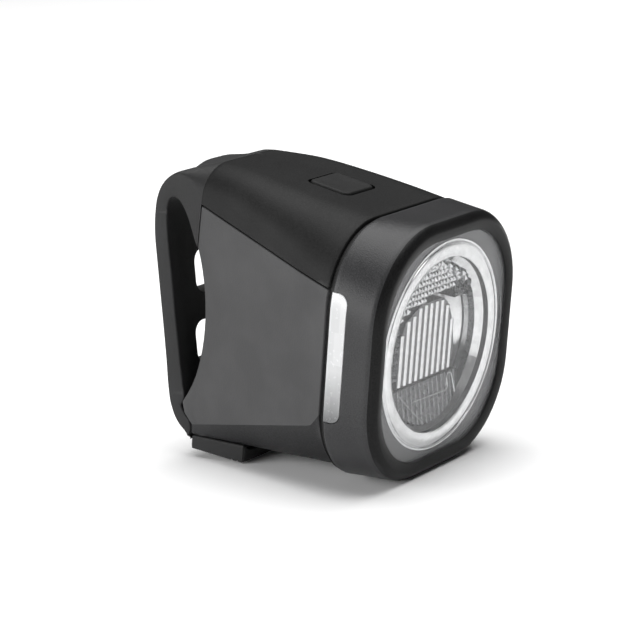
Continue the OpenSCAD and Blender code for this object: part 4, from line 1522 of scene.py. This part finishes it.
    def corner_frame(self) -> Piece:
        """Make the plate that fills the lens corners around the ring.

        Returns:
            The plate.
        """
        y0, y1 = self.ring_y + self.frame_sunk, self.front_y
        half, corner, hole = self.lens_half, self.plate_corner, self.ring_outer - self.frame_lap
        rows = [self.square(half, corner, y) for y in (y1, y0)] + [self.circle(hole, y) for y in (y0, y1)]
        return skin("reflector_frame", rows, closed_rows=True)

    def upright_plate(
        self,
        name: str,
        groups: Sequence[Sequence[float]],
        ends: Callable[[float], Flat],
        face: Callable[[float, float], float],
        back: Callable[[float, float], float],
    ) -> Piece:
        """Make closed plates from upright columns.

        Args:
            name: Name of the object.
            groups: Places across the lamp of the columns of each plate.
            ends: Gives the lower and upper end of a column.
            face: Gives the front surface at a place.
            back: Gives the surface behind it.

        Returns:
            The new object.
        """
        steps = self.plate_steps
        points: list[Point] = []
        faces: list[list[int]] = []
        for columns in groups:
            first, wide, tall = len(points), len(columns), steps + 1
            behind = wide * tall
            for surface in (face, back):
                for x in columns:
                    low, high = ends(x)
                    points.extend((x, surface(x, z), z) for z in even(low, high, steps))
            for i in range(wide - 1):
                for k in range(steps):
                    start = first + i * tall + k
                    quad = [start, start + tall, start + tall + 1, start + 1]
                    faces.append(quad)
                    faces.append([q + behind for q in reversed(quad)])
            rim = [first + k for k in range(tall)]
            rim += [first + i * tall + steps for i in range(1, wide)]
            rim += [first + (wide - 1) * tall + k for k in range(steps - 1, -1, -1)]
            rim += [first + i * tall for i in range(wide - 2, 0, -1)]
            for a, b in zip(rim, [*rim[1:], rim[0]]):
                faces.append([a, b, b + behind, a + behind])
        plate = mesh_object(name, points, faces)
        turn_outwards(plate)
        return plate

    @staticmethod
    def bars(middles: Sequence[float], half: float, steps: int) -> list[list[float]]:
        """Columns of narrow upright bars, from their middles and their half width."""
        return [[middle + half * t for t in even(-1.0, 1.0, steps)] for middle in middles]

    def flute_at(self, x: float) -> int:
        """Number of the flute at a place across the lamp."""
        return min(len(self.flute_tops) - 1, max(0, round((x - self.flute_start) / self.flute_pitch)))

    def flutes(self) -> Piece:
        """Make the upright bright flutes, each with its own height.

        Returns:
            The flutes.
        """
        half = self.flute_width / 2.0
        middles = [self.flute_start + k * self.flute_pitch for k in range(len(self.flute_tops))]
        groups = self.bars(middles, half, self.flute_steps)

        def face(x: float, z: float) -> float:
            """Rounded front of a flute."""
            share = (x - middles[self.flute_at(x)]) / half
            return self.flute_y - self.flute_rise * math.sqrt(max(0.0, 1.0 - share * share)) - self.skin_depth

        def ends(x: float) -> Flat:
            """Lower and upper end of a flute."""
            return self.flute_low, self.flute_tops[self.flute_at(x)] * MM

        back_y = self.flute_y + self.plate_back
        return self.upright_plate("reflector_flutes", groups, ends, face, lambda x, z: back_y)

    def flute_bed(self) -> Piece:
        """Make the dark block between and behind the flutes, down to the bowl's floor: painted shade between the bright
        flutes.

        Returns:
            The block.
        """
        columns = even(self.bed_top[0][0] * MM, self.bed_top[-1][0] * MM, self.bed_steps)

        def ends(x: float) -> Flat:
            """Lower and upper end of the block."""
            return self.height_at(self.bed_foot, x), self.height_at(self.bed_top, x)

        back_y = self.floor_y + self.bed_sunk
        return self.upright_plate(
            "reflector_flute_bed", [columns], ends, lambda x, z: self.flute_y, lambda x, z: back_y
        )

    def facets(self, name: str, dim: bool) -> Piece:
        """Make the small pyramids on the bowl, over the flutes and beside them.

        Args:
            name: Name of the object.
            dim: Whether to make the dim ones at the sides or the bright ones.

        Returns:
            The new object.
        """
        points: list[Point] = []
        faces: list[list[int]] = []
        size = self.facet
        lean, wave = self.facet_lean, self.facet_wave
        count = math.ceil(self.facet_reach / size)
        for j in range(-count, count):
            for i in range(-count, count):
                x0, z0 = i * size, j * size
                mx, mz = x0 + size / 2.0, z0 + size / 2.0
                cell = [(x0, z0), (x0 + size, z0), (x0 + size, z0 + size), (x0, z0 + size)]
                far = max(math.hypot(*c) for c in cell)
                if far > self.facet_reach or z0 < self.height_at(self.facet_foot, mx):
                    continue
                # The dim facets at the sides are dressed in a darker metal: painted shade
                if dim != (mx < self.dim_left or (mx > self.dim_corner[0] and mz < self.dim_corner[1])):
                    continue
                start = len(points)
                base = min(self.flute_y, self.wall_y(far)) - self.facet_gap
                tip_x = mx + lean[0] * size * math.sin(wave[0][0] * i + wave[0][1] * j)
                tip_z = mz + lean[1] * size * math.cos(wave[1][0] * i + wave[1][1] * j)
                points.append((tip_x, base - self.facet_rise, tip_z))
                points.extend((x, base, z) for x, z in cell)
                points.extend((x, self.wall_y(math.hypot(x, z)) + self.plate_back, z) for x, z in cell)
                for k in range(4):
                    a, b = start + 1 + k, start + 1 + (k + 1) % 4
                    faces.append([start, a, b])
                    faces.append([a, a + 4, b + 4, b])
                faces.append([start + 8, start + 7, start + 6, start + 5])
        band = mesh_object(name, points, faces)
        turn_outwards(band)
        return band

    def shade_y(self, z: float) -> float:
        """Front surface of the shade, which leans forwards as it falls."""
        share = (self.shade_top - z) / (self.shade_top + self.shade_reach)
        return self.front_y + lerp(*self.shade_depth, share)

    def shade_ends(self, x: float) -> Flat:
        """Lower and upper end of the shade at a place across the lamp."""
        return -math.sqrt(self.shade_reach * self.shade_reach - x * x), self.shade_top

    def led_shade(self) -> Piece:
        """Make the dark shade in front of the LED.

        Returns:
            The shade.
        """
        columns = even(-self.shade_half, self.shade_half, self.shade_steps)
        return self.upright_plate(
            "led_shade", [columns], self.shade_ends,
            lambda x, z: self.shade_y(z), lambda x, z: self.shade_y(z) + self.shade_thick,
        )

    def shade_ribs(self) -> Piece:
        """Make the fine upright ribs on the shade.

        Returns:
            The ribs.
        """
        count, half = int(2.0 * self.shade_half / self.shade_pitch), self.shade_rib / 2.0
        middles = [(k - (count - 1) / 2.0) * self.shade_pitch for k in range(count)]
        groups = self.bars(middles, half, self.rib_steps)

        def face(x: float, z: float) -> float:
            """Rounded front of a rib."""
            share = min(abs(x - middle) for middle in middles) / half
            return self.shade_y(z) - self.shade_rise * math.sqrt(max(0.0, 1.0 - share * share)) - self.skin_depth

        return self.upright_plate(
            "led_shade_ribs", groups, self.shade_ends, face, lambda x, z: self.shade_y(z) + self.plate_back
        )

    def shade_bar(self) -> Piece:
        """Make the dark edge between the flutes and the shade: a black bar as painted shadow.

        Returns:
            The bar.
        """
        outline = rounded_loop(*self.bar_half, self.bar_corner, steps=4, sides=1)
        z, y = self.shade_top + self.bar_up, self.flute_y + self.plate_back
        left, right = self.bed_foot[0][0] * MM, self.bed_foot[1][0] * MM
        rows = [[(x, y + b, z + a) for a, b in outline] for x in even(left, right, self.bar_steps)]
        return skin("led_shade_bar", rows, first_cap=(left, y, z), last_cap=(right, y, z))

    def thin_rail(self, name: str, route: Sequence[Flat]) -> Piece:
        """Make a fine rail on the shade.

        Args:
            name: Name of the object.
            route: Its points in X and Z, in millimetres.

        Returns:
            The rail.
        """
        line = spline([(a * MM, b * MM) for a, b in route], 5)
        sides = self.rail_sides
        rows: list[Loop] = []
        for i, (x, z) in enumerate(line):
            before, after = line[max(0, i - 1)], line[min(len(line) - 1, i + 1)]
            along = Vector((after[0] - before[0], 0.0, after[1] - before[1])).normalized()
            across = Vector((-along.z, 0.0, along.x))
            middle = Vector((x, self.shade_y(z) - self.shade_rise, z))
            loop: Loop = []
            for k in range(sides):
                a = 2.0 * math.pi * k / sides
                loop.append(tuple(middle + (across * math.cos(a) + Vector((0.0, math.sin(a), 0.0))) * self.rail_radius))
            rows.append(loop)
        return skin(name, rows, first_cap=middle_of(rows[0]), last_cap=middle_of(rows[-1]))

    def build(self) -> None:
        """Make the lamp's pieces and dress them."""
        lens = self.lens()
        dress(lens, LENS_CLEAR, "clear_plastic", "housing", "clear_lens", angle=25.0)
        bowl = self.bowl()
        dress(bowl, RING_CHROME, "metallised_plastic", "housing", "reflector", angle=30.0)
        groove_top = (self.ring_inner, self.groove_sunk - self.ring_proud)
        # The groove, band, step, line, flute bed and dim facets take darker metals than the chrome around them: painted
        # shade for the dark reflections in the bowl
        for piece, finish, angle in (
            (self.corner_frame(), FRAME_GREY, 30.0),
            (self.wall_strip("reflector_groove", groove_top, self.groove_foot), PAINTED_SHADE_METAL, 40.0),
            (self.wall_strip("reflector_brim", self.groove_foot, self.band_top), CHROME, 40.0),
            (self.wall_strip("reflector_band", self.band_top, self.band_foot), SMOKED_AND_PAINTED_SHADE_METAL, 40.0),
            (self.wall_strip("reflector_step", self.band_foot, self.step_top), GREY_CHROME_AND_PAINTED_SHADE, 40.0),
            (self.wall_strip("reflector_line", self.step_top, self.step_foot), PAINTED_SHADE_METAL, 40.0),
            (self.flutes(), CHROME, 40.0),
            (self.flute_bed(), PAINTED_SHADE_METAL, 40.0),
            (self.facets("reflector_facets", False), FACET_CHROME, 5.0),
            (self.facets("reflector_facets_dim", True), SMOKED_AND_PAINTED_SHADE_METAL, 5.0),
            (self.led_shade(), SMOKED_AND_PAINTED_SHADE_METAL, 40.0),
            (self.shade_ribs(), RIB_METAL, 40.0),
            # A black bar where there is only a shadow line under the flutes: painted shadow
            (self.shade_bar(), SEAL_RUBBER, 40.0),
            (self.thin_rail("shade_rail", self.rail_route), CHROME, 60.0),
            (self.thin_rail("shade_rib", self.rib_route), GREY_CHROME_AND_PAINTED_SHADE, 60.0),
        ):
            dress(piece, finish, "metallised_plastic", "housing", angle=angle)


@dataclass
class TopButton:
    """Push button in the top cover, with a rounded edge and a shallow thumb dish."""

    form: BodyForm
    half_width: float = 4.1 * MM
    half_len: float = 3.8 * MM
    corner: float = 1.2 * MM
    proud: float = 0.25 * MM
    edge: float = 0.4 * MM
    depth: float = 2.6 * MM
    dish: float = 0.12 * MM
    least_corner: float = 0.15 * MM
    dish_steps: tuple[Flat, ...] = ((0.9, 0.15), (1.5, 0.5), (2.1, 0.8), (2.7, 0.95), (3.3, 1.0))

    def build(self) -> None:
        """Make the button and dress it."""
        low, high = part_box("power_button")
        y0 = (low[1] + high[1]) / 2.0

        def loop(inset: float, drop: float) -> Loop:
            """Outline of the button, drawn in by an inset and lowered from the crest."""
            half, corner = (self.half_width - inset, self.half_len - inset), max(self.least_corner, self.corner - inset)
            outline = rounded_loop(*half, corner, steps=8, sides=6)
            return [(x, y0 + y, self.form.crest(y0 + y) + self.proud - drop) for x, y in outline]

        rows = [loop(0.0, self.depth), loop(0.0, self.depth / 2.0)]
        rows += [loop(inset, drop) for inset, drop in quarter_turn(self.edge, 5)]
        rows += [loop(inset * MM, self.dish * share) for inset, share in self.dish_steps]
        top = (0.0, y0, self.form.crest(y0) + self.proud - self.dish)
        foot = (0.0, y0, self.form.crest(y0) + self.proud - self.depth)
        button = skin("button_cap", rows, first_cap=foot, last_cap=top)
        dress(button, BUTTON_RUBBER, "button_rubber", "button", "power_button", angle=45.0)


@dataclass
class ChargingCover:
    """Soft cover over the charging socket, with a finger grip."""

    form: BodyForm
    thickness: float = 0.9 * MM
    corner: float = 0.7 * MM
    edge: float = 0.22 * MM
    grip_half: float = 3.2 * MM
    grip_up: float = 2.0 * MM
    plug_half_len: float = 3.7 * MM
    plug_half_h: float = 0.95 * MM
    plug_depth: float = 1.1 * MM
    plug_corner: float = 0.9 * MM
    plug_edge: float = 0.02 * MM
    plug_lap: float = 0.05 * MM
    grip_half_h: float = 0.45 * MM
    grip_corner: float = 0.4 * MM
    grip_depth: Flat = (-0.1 * MM, 0.4 * MM)
    grip_edge: float = 0.3 * MM
    crown: float = 0.02 * MM
    least_corner: float = 0.08 * MM

    def pad(self, name: str, half: Flat, corner: float, depth: Flat, up: float, edge: float) -> Piece:
        """Make a soft-edged plate on the flank.

        Args:
            name: Name of the object.
            half: Half of its length and height.
            corner: Radius of its corners.
            depth: Places of its inner and outer faces.
            up: Height of its middle over the place.
            edge: Rounding of its outer edge.

        Returns:
            The new object.
        """
        place = FlankPlace.from_form(self.form)
        rows: list[Loop] = []
        steps = [(0.0, depth[0])]
        steps += [(inset, depth[1] - drop) for inset, drop in quarter_turn(edge, 4)]
        steps += [(min(half) * share, depth[1] + self.crown * share) for share in (0.4, 0.7, 0.9)]
        for inset, out in steps:
            round_by = max(self.least_corner, corner - inset)
            outline = rounded_loop(half[0] - inset, half[1] - inset, round_by, steps=6, sides=4)
            rows.append([place.at(out, a, b + up) for a, b in outline])
        inside, outside = (place.at(out, 0.0, up) for out in (depth[0], depth[1] + self.crown))
        return skin(name, rows, first_cap=inside, last_cap=outside)

    def build(self) -> None:
        """Make the cover, its grip and its plug and dress them."""
        place = FlankPlace.from_form(self.form)
        cover = self.pad(
            "charging_cover", (place.half_len, place.half_h), self.corner, (-self.thickness, 0.0), 0.0, self.edge
        )
        dress(cover, BUTTON_RUBBER, "button_rubber", "flap", "usb_cover", angle=45.0)
        grip = self.pad(
            "charging_cover_grip", (self.grip_half, self.grip_half_h), self.grip_corner, self.grip_depth,
            self.grip_up, self.grip_edge,
        )
        dress(grip, BUTTON_RUBBER, "button_rubber", "flap", angle=45.0)
        depth = (-self.thickness - self.plug_depth, -self.thickness + self.plug_lap)
        plug = self.pad(
            "charging_cover_plug", (self.plug_half_len, self.plug_half_h), self.plug_corner, depth, 0.0, self.plug_edge
        )
        dress(plug, BUTTON_RUBBER, "button_rubber", "flap", angle=45.0)


@dataclass
class SaddlePad:
    """Ribbed rubber pad in the handlebar seat."""

    shell: HousingShell
    ribs: int = 9
    rib_height: float = 0.4 * MM
    gap: float = 0.12 * MM
    edge: float = 0.5 * MM
    rib_steps: int = 10
    sunk: float = 0.35 * MM
    foot: float = 0.05 * MM

    def build(self) -> None:
        """Make the pad and dress it."""
        shell = self.shell
        half_x, half_z = shell.pad_half_width - self.gap, shell.pad_half_height - self.gap
        steps = self.ribs * self.rib_steps
        rows: list[Loop] = []
        for i, z in enumerate(even(-half_z, half_z, steps)):
            angle = math.asin(z / shell.seat_radius)
            wave = 0.5 - 0.5 * math.cos(2.0 * math.pi * self.ribs * i / steps)
            edge, border = self.edge, min(1.0, (half_z - abs(z)) / self.edge)
            top = shell.pad_depth - self.sunk + self.rib_height * wave * border
            loop: Loop = []
            ledge = [
                (half_x, self.foot), (half_x, top - edge * 0.6), (half_x - edge * 0.3, top - edge * 0.2),
                (half_x - edge, top), (half_x * 0.5, top), (0.0, top),
            ]
            ledge += [(-x, up) for x, up in ledge[-2::-1]]
            for x, up in ledge:
                r = shell.seat_radius + shell.pad_depth - up
                loop.append((x, shell.seat_radius - r * math.cos(angle), shell.seat_z + r * math.sin(angle)))
            rows.append(loop)
        middles = [tuple((row[2][n] + row[-3][n]) / 2.0 for n in range(3)) for row in (rows[0], rows[-1])]
        pad = skin("saddle_pad_ribbed", rows, first_cap=middles[0], last_cap=middles[1])
        dress(pad, SEAL_RUBBER, "black_rubber", "housing", "saddle_pad", angle=50.0)


@dataclass
class MountStrap:
    """Rubber strap: arch at the top, slotted band, and the tail under the body."""

    shell: HousingShell
    edge: float = 0.35 * MM
    shoulder: float = 5.7 * MM
    rib_half: float = 3.9 * MM
    rib_rise: float = 0.85 * MM
    slot_width: float = 11.3 * MM
    slot_grow: float = 2.8 * MM
    slot_height: float = 7.3 * MM
    slot_z: float = 3.55 * MM
    slot_pitch: float = 11.7 * MM
    slot_corner: float = 2.2 * MM
    foot_gap: float = 0.05 * MM
    tip_inset: float = 0.8 * MM
    wing_rise: float = 0.8 * MM
    tail_lift: float = 0.14 * MM
    tail_back: float = 0.45 * MM
    wing_edge: Flat = (10.3 * MM, 11.1 * MM)
    wing_run: Flat = (-8.5 * MM, 2.35 * MM)
    joint_z: float = 9.95 * MM
    outer_route: tuple[Flat, ...] = (
        (3.2, 23.2), (4.4, 22.85), (5.5, 22.5), (6.6, 22.1), (7.75, 21.6), (8.9, 20.9), (9.85, 20.05),
        (10.6, 19.05), (11.15, 17.9), (11.6, 16.2), (11.75, 14.3), (11.75, 12.4), (11.55, 10.0), (11.2, 7.7),
        (10.6, 4.3), (9.85, 0.0), (9.25, -3.4), (8.6, -7.2), (8.05, -10.6), (7.5, -14.4), (6.95, -17.1),
        (6.4, -18.5), (5.75, -19.75), (4.75, -20.9), (3.5, -21.85), (2.95, -22.6), (2.84, -23.2),
    )
    inner_route: tuple[Flat, ...] = (
        (3.15, 10.75), (3.6, 11.8), (4.15, 13.1), (4.85, 14.6), (5.65, 15.9), (6.5, 16.9), (7.3, 17.35),
        (7.95, 17.42), (8.5, 17.1), (8.95, 16.4), (9.14, 15.0), (9.1, 13.6), (8.92, 11.9), (8.42, 8.7),
        (7.62, 4.5), (6.95, 0.5), (6.4, -2.8), (5.65, -6.7), (5.0, -10.2), (4.35, -13.4),
    )
    foot_heights: tuple[float, ...] = (-16.2, -17.4, -18.6, -19.8, -21.3)
    inner_tip: tuple[Flat, ...] = ((2.57, -22.2), (2.6, -23.1))
    route_steps: int = 5
    tip_span: Flat = (0.955, 0.985)
    arch_end: float = 0.4
    arch_fade: float = 1.2
    rib_start: Flat = (0.05, 0.22)
    rib_end: Flat = (0.26, 0.46)
    rib_soft: float = 2.2 * MM
    side_edge: float = 2.5
    inner_edge: float = 0.3 * MM
    slot_reach: float = 30.0 * MM
    tail_edge: float = 0.3 * MM
    tail_steps: int = 40
    grip_rise: float = 0.18 * MM
    grip_pitch: float = 1.1 * MM
    grip_reach: float = 3.3 * MM
    hook_slot: Flat = (2.4 * MM, 2.7 * MM)
    hook_slot_y: float = 5.7 * MM
    hook_slot_corner: float = 0.6 * MM
    hook_slot_over: float = 1.0 * MM

    @property
    def form(self) -> BodyForm:
        """The body's form."""
        return self.shell.form

    def wing(self, x: float, y: float) -> float:
        """How much higher the tail's top stands beside the underside than below it."""
        front, back = self.wing_run
        return self.wing_rise * smooth_step(*self.wing_edge, abs(x)) * (back - y) / (back - front)

    def pairs(self) -> list[tuple[Flat, Flat]]:
        """Points of the strap's outer and inner line in Y and Z, from the body round to the lower end.

        Returns:
            Pairs of an outer and an inner point.
        """
        form, top = self.form, self.form.crest(self.form.end_y)
        outer = [(form.root_line(top), top), *((y * MM, z * MM) for y, z in self.outer_route)]
        inner = [(form.root_line(self.joint_z), self.joint_z), *((y * MM, z * MM) for y, z in self.inner_route)]
        inner += [(self.shell.back_y(z * MM) + self.foot_gap, z * MM) for z in self.foot_heights]
        inner += [(y * MM, z * MM) for y, z in self.inner_tip]
        return list(zip(spline(outer, self.route_steps), spline(inner, self.route_steps)))

    def section(self, outer: Flat, inner: Flat, share: float) -> Loop:
        """Loop across the strap between an outer and an inner point.

        Args:
            outer: Point on the outer line.
            inner: Point on the inner line.
            share: Share of the way along the strap.

        Returns:
            The loop's points.
        """
        half = self.form.rear_half - self.tip_inset * smooth_step(*self.tip_span, share)
        thick = math.dist(outer, inner)
        settle = 1.0
        if share <= self.arch_end:
            settle = min(1.0, max(0.0, (outer[0] - self.form.end_y) / self.shoulder))
        top_w = lerp(self.form.rear_top_width, self.side_edge * self.edge, settle)
        top_h = max(self.edge, self.form.rear_top_height * (1.0 - settle) ** self.arch_fade)
        top_h, low = min(top_h, thick * 0.48), min(self.inner_edge, thick * 0.3)
        rise = self.rib_rise * smooth_step(*self.rib_start, share) * (1.0 - smooth_step(*self.rib_end, share))
        side: list[Flat] = [(0.0, 0.0), (half * 0.3, 0.0), (half * 0.6, 0.0)]
        for i in range(5):
            a = math.pi / 2.0 * i / 4
            side.append((half - low + low * math.sin(a), low - low * math.cos(a)))
        for i in range(9):
            a = math.pi / 2.0 * i / 8
            side.append((half - top_w + top_w * math.cos(a), thick - top_h + top_h * math.sin(a)))
        reach = half - top_w
        for i in range(1, 15):
            x = reach * (1.0 - i / 14)
            fall = smooth_step(self.rib_half - self.rib_soft, self.rib_half + self.rib_soft, x)
            side.append((x, thick + rise * (1.0 - fall)))
        flat = [*side, *((-x, w) for x, w in side[-2:0:-1])]
        dy, dz = (outer[0] - inner[0]) / thick, (outer[1] - inner[1]) / thick
        return [(x, inner[0] + dy * w, inner[1] + dz * w) for x, w in flat]

    def band(self) -> Piece:
        """Make the strap's arch and band with its two slots.

        Returns:
            The band.
        """
        pairs = self.pairs()
        rows = [self.section(outer, inner, i / (len(pairs) - 1)) for i, (outer, inner) in enumerate(pairs)]
        strap = skin("strap_band_soft", rows, mirror_caps=True)
        for k in range(2):
            half = ((self.slot_width + k * self.slot_grow) / 2.0, self.slot_height / 2.0)
            outline = rounded_loop(*half, self.slot_corner, steps=8, sides=4)
            z = self.slot_z - k * self.slot_pitch
            cut(strap, prism("strap_slot", outline, lambda p, d: (p[0], d, z + p[1]), (0.0, self.slot_reach)))
        return strap

    def tail(self) -> Piece:
        """Make the tail: a soft block with a slot for the hook and grip ribs under its front.

        Returns:
            The tail.
        """
        low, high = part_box("strap_tail")
        half, r = high[0], self.tail_edge
        y0, y1 = low[1], high[1] + self.tail_back
        z0, z1 = low[2], high[2] + self.tail_lift
        middle = (z0 + z1) / 2.0
        rows: list[Loop] = []
        for y in even(y0, y1, self.tail_steps):
            end = min(y - y0, y1 - y)
            inset = r - math.sqrt(max(0.0, r * r - max(0.0, r - end) ** 2))
            rib = 0.0
            if y - y0 < self.grip_reach:
                rib = self.grip_rise * max(0.0, math.sin(2.0 * math.pi * (y - y0) / self.grip_pitch))
            outline = rounded_loop(half - inset, (z1 - z0) / 2.0 - inset, r, steps=5, sides=24)
            rows.append([(x, y, middle + z + (rib if z < 0.0 else self.wing(x, y))) for x, z in outline])
        tail = skin("strap_tail_soft", rows, first_cap=(0.0, y0, middle), last_cap=(0.0, y1, middle))
        slot = rounded_loop(*self.hook_slot, self.hook_slot_corner, steps=5, sides=2)
        slot_y, ends = y0 + self.hook_slot_y, (z0 - self.hook_slot_over, z1 + self.hook_slot_over)
        cut(tail, prism("tail_slot", slot, lambda p, d: (p[0], slot_y + p[1], d), ends))
        return tail

    def build(self) -> None:
        """Make the strap and its tail and dress them."""
        strap = self.band()
        shade(strap, 40.0)
        strap.data.materials.clear()
        strap.data.materials.append(STRAP_RUBBER.material())
        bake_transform(strap)
        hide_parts("strap_root", "strap")
        LOG.info("piece %s bends between housing and strap_band", strap.name)
        tail = self.tail()
        dress(tail, STRAP_RUBBER, "strap_rubber", "strap_end", "strap_tail", angle=40.0)


@dataclass
class CarriedParts:
    """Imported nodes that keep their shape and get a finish."""

    finishes: dict[Finish, tuple[str, ...]]

    def build(self) -> None:
        """Give each node its finish."""
        for finish, names in self.finishes.items():
            for name in names:
                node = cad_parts[name]
                node.data.materials.clear()
                node.data.materials.append(finish.material())
                LOG.info("node %s has %s", name, finish.name)


@dataclass(frozen=True)
class Softbox:
    """A studio light: where it stands, what it points at, its size and its power."""

    name: str
    place: Point
    target: Point
    size: Flat
    power: float
    spread: float = 180.0


@dataclass
class Studio:
    """Pale floor, soft lights and the camera."""

    azimuth: float = 56.68
    elevation: float = 16.95
    roll: float = 3.76
    distance: float = 400.0 * MM
    aim: Point = (0.0, -15.0 * MM, 0.0)
    shift_right: float = -1.4437 * MM
    shift_up: float = -0.6933 * MM
    shift_back: float = -0.8 * MM
    lens: float = 137.9
    sensor: float = 36.0
    floor_contact: Flat = (-8.5 * MM, -24.6 * MM)
    floor_slope: float = -0.1326
    floor_size: float = 6.0
    floor_sink: float = 0.1 * MM
    room_light: float = 0.06
    boxes: tuple[Softbox, ...] = (
        Softbox("left_softbox", (-0.6, 0.36, 0.14), (0.0, -0.015, 0.0), (0.8, 0.36), 4.8),
        Softbox("front_softbox", (-0.12, -0.8, 0.14), (0.0, -0.03, 0.0), (0.5, 0.5), 0.14),
        Softbox("right_softbox", (0.62, -0.45, 0.06), (0.0, -0.03, 0.0), (0.4, 0.3), 0.12),
        Softbox("top_softbox", (0.28, 0.22, 1.4), (0.1, 0.1, 0.0), (1.7, 1.7), 23.5, 140.0),
    )

    def camera(self) -> None:
        """Set the camera at the viewing angle of the photograph."""
        az, el, roll = (math.radians(a) for a in (self.azimuth, self.elevation, self.roll))
        back = Vector((-math.sin(az) * math.cos(el), -math.cos(az) * math.cos(el), math.sin(el)))
        level = Vector((0.0, 0.0, 1.0)).cross(back).normalized()
        upright = back.cross(level)
        right = level * math.cos(roll) + upright * math.sin(roll)
        up = upright * math.cos(roll) - level * math.sin(roll)
        eye = Vector(self.aim) + back * self.distance + right * self.shift_right + up * self.shift_up
        eye.y += self.shift_back
        data = bpy.data.cameras.new("camera")
        data.lens, data.sensor_width, data.sensor_height = self.lens, self.sensor, self.sensor
        data.clip_start, data.clip_end = 0.01, 50.0
        camera = bpy.data.objects.new("camera", data)
        camera.matrix_world = Matrix.Translation(eye) @ Matrix((right, up, back)).transposed().to_4x4()
        bpy.context.scene.collection.objects.link(camera)
        bpy.context.scene.camera = camera

    def floor(self) -> None:
        """Lay the floor under the bezel and the tail."""
        half = self.floor_size / 2.0
        y0, z0 = self.floor_contact

        def at(x: float, y: float) -> Point:
            """Point of the floor."""
            return x, y, z0 + self.floor_slope * (y - y0) - self.floor_sink

        corners = [at(-half, -half), at(half, -half), at(half, half), at(-half, half)]
        floor = mesh_object("floor", corners, [[0, 1, 2, 3]])
        floor.data.materials.append(FLOOR_PALE.material())

    def lights(self) -> None:
        """Set the soft lights and the dim room around them."""
        for box in self.boxes:
            data = bpy.data.lights.new(box.name, "AREA")
            data.shape = "RECTANGLE"
            data.size, data.size_y = box.size
            data.energy = box.power
            data.spread = math.radians(box.spread)
            lamp = bpy.data.objects.new(box.name, data)
            lamp.location = box.place
            lamp.rotation_euler = (Vector(box.target) - Vector(box.place)).to_track_quat("-Z", "Y").to_euler()
            bpy.context.scene.collection.objects.link(lamp)
        world = bpy.data.worlds.new("studio_room")
        world.use_nodes = True
        room = world.node_tree.nodes["Background"]
        room.inputs["Color"].default_value = (1.0, 1.0, 1.0, 1.0)
        room.inputs["Strength"].default_value = self.room_light
        bpy.context.scene.world = world
        bpy.context.scene.view_settings.view_transform = "Standard"

    def build(self) -> None:
        """Set up the studio."""
        self.camera()
        self.floor()
        self.lights()


def main() -> None:
    """Build the headlight's pieces in order, then the studio."""
    logging.basicConfig(level=logging.INFO, format="%(message)s")
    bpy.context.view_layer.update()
    form = BodyForm.from_frame()
    shell = HousingShell(form)
    bezel = FrontBezel(form)
    for assembly in (
        shell,
        bezel,
        LampUnit(bezel),
        TopButton(form),
        ChargingCover(form),
        SaddlePad(shell),
        MountStrap(shell),
        CarriedParts(
            {
                SEAL_RUBBER: ("lens_gasket", "seam_gasket", "button_seal", "battery_pad"),
                SCREW_METAL: ("led_board_screws", "bezel_screws", "board_screws", "usb_socket"),
                SWITCH_PLASTIC: ("tact_switch", "board_components"),
                PLUNGER_PLASTIC: ("switch_plunger",),
                LED_PHOSPHOR: ("led_emitter",),
                BOARD_WHITE: ("led_board",),
                BOARD_GREEN: ("main_board",),
                SINK_METAL: ("heat_sink",),
                BATTERY_WRAP: ("battery_cell",),
                LEAD_RED: ("battery_leads", "led_leads"),
                FLANK_BLACK: ("strap_hook",),
            }
        ),
        Studio(),
    ):
        assembly.build()


if __name__ == "__main__":
    main()
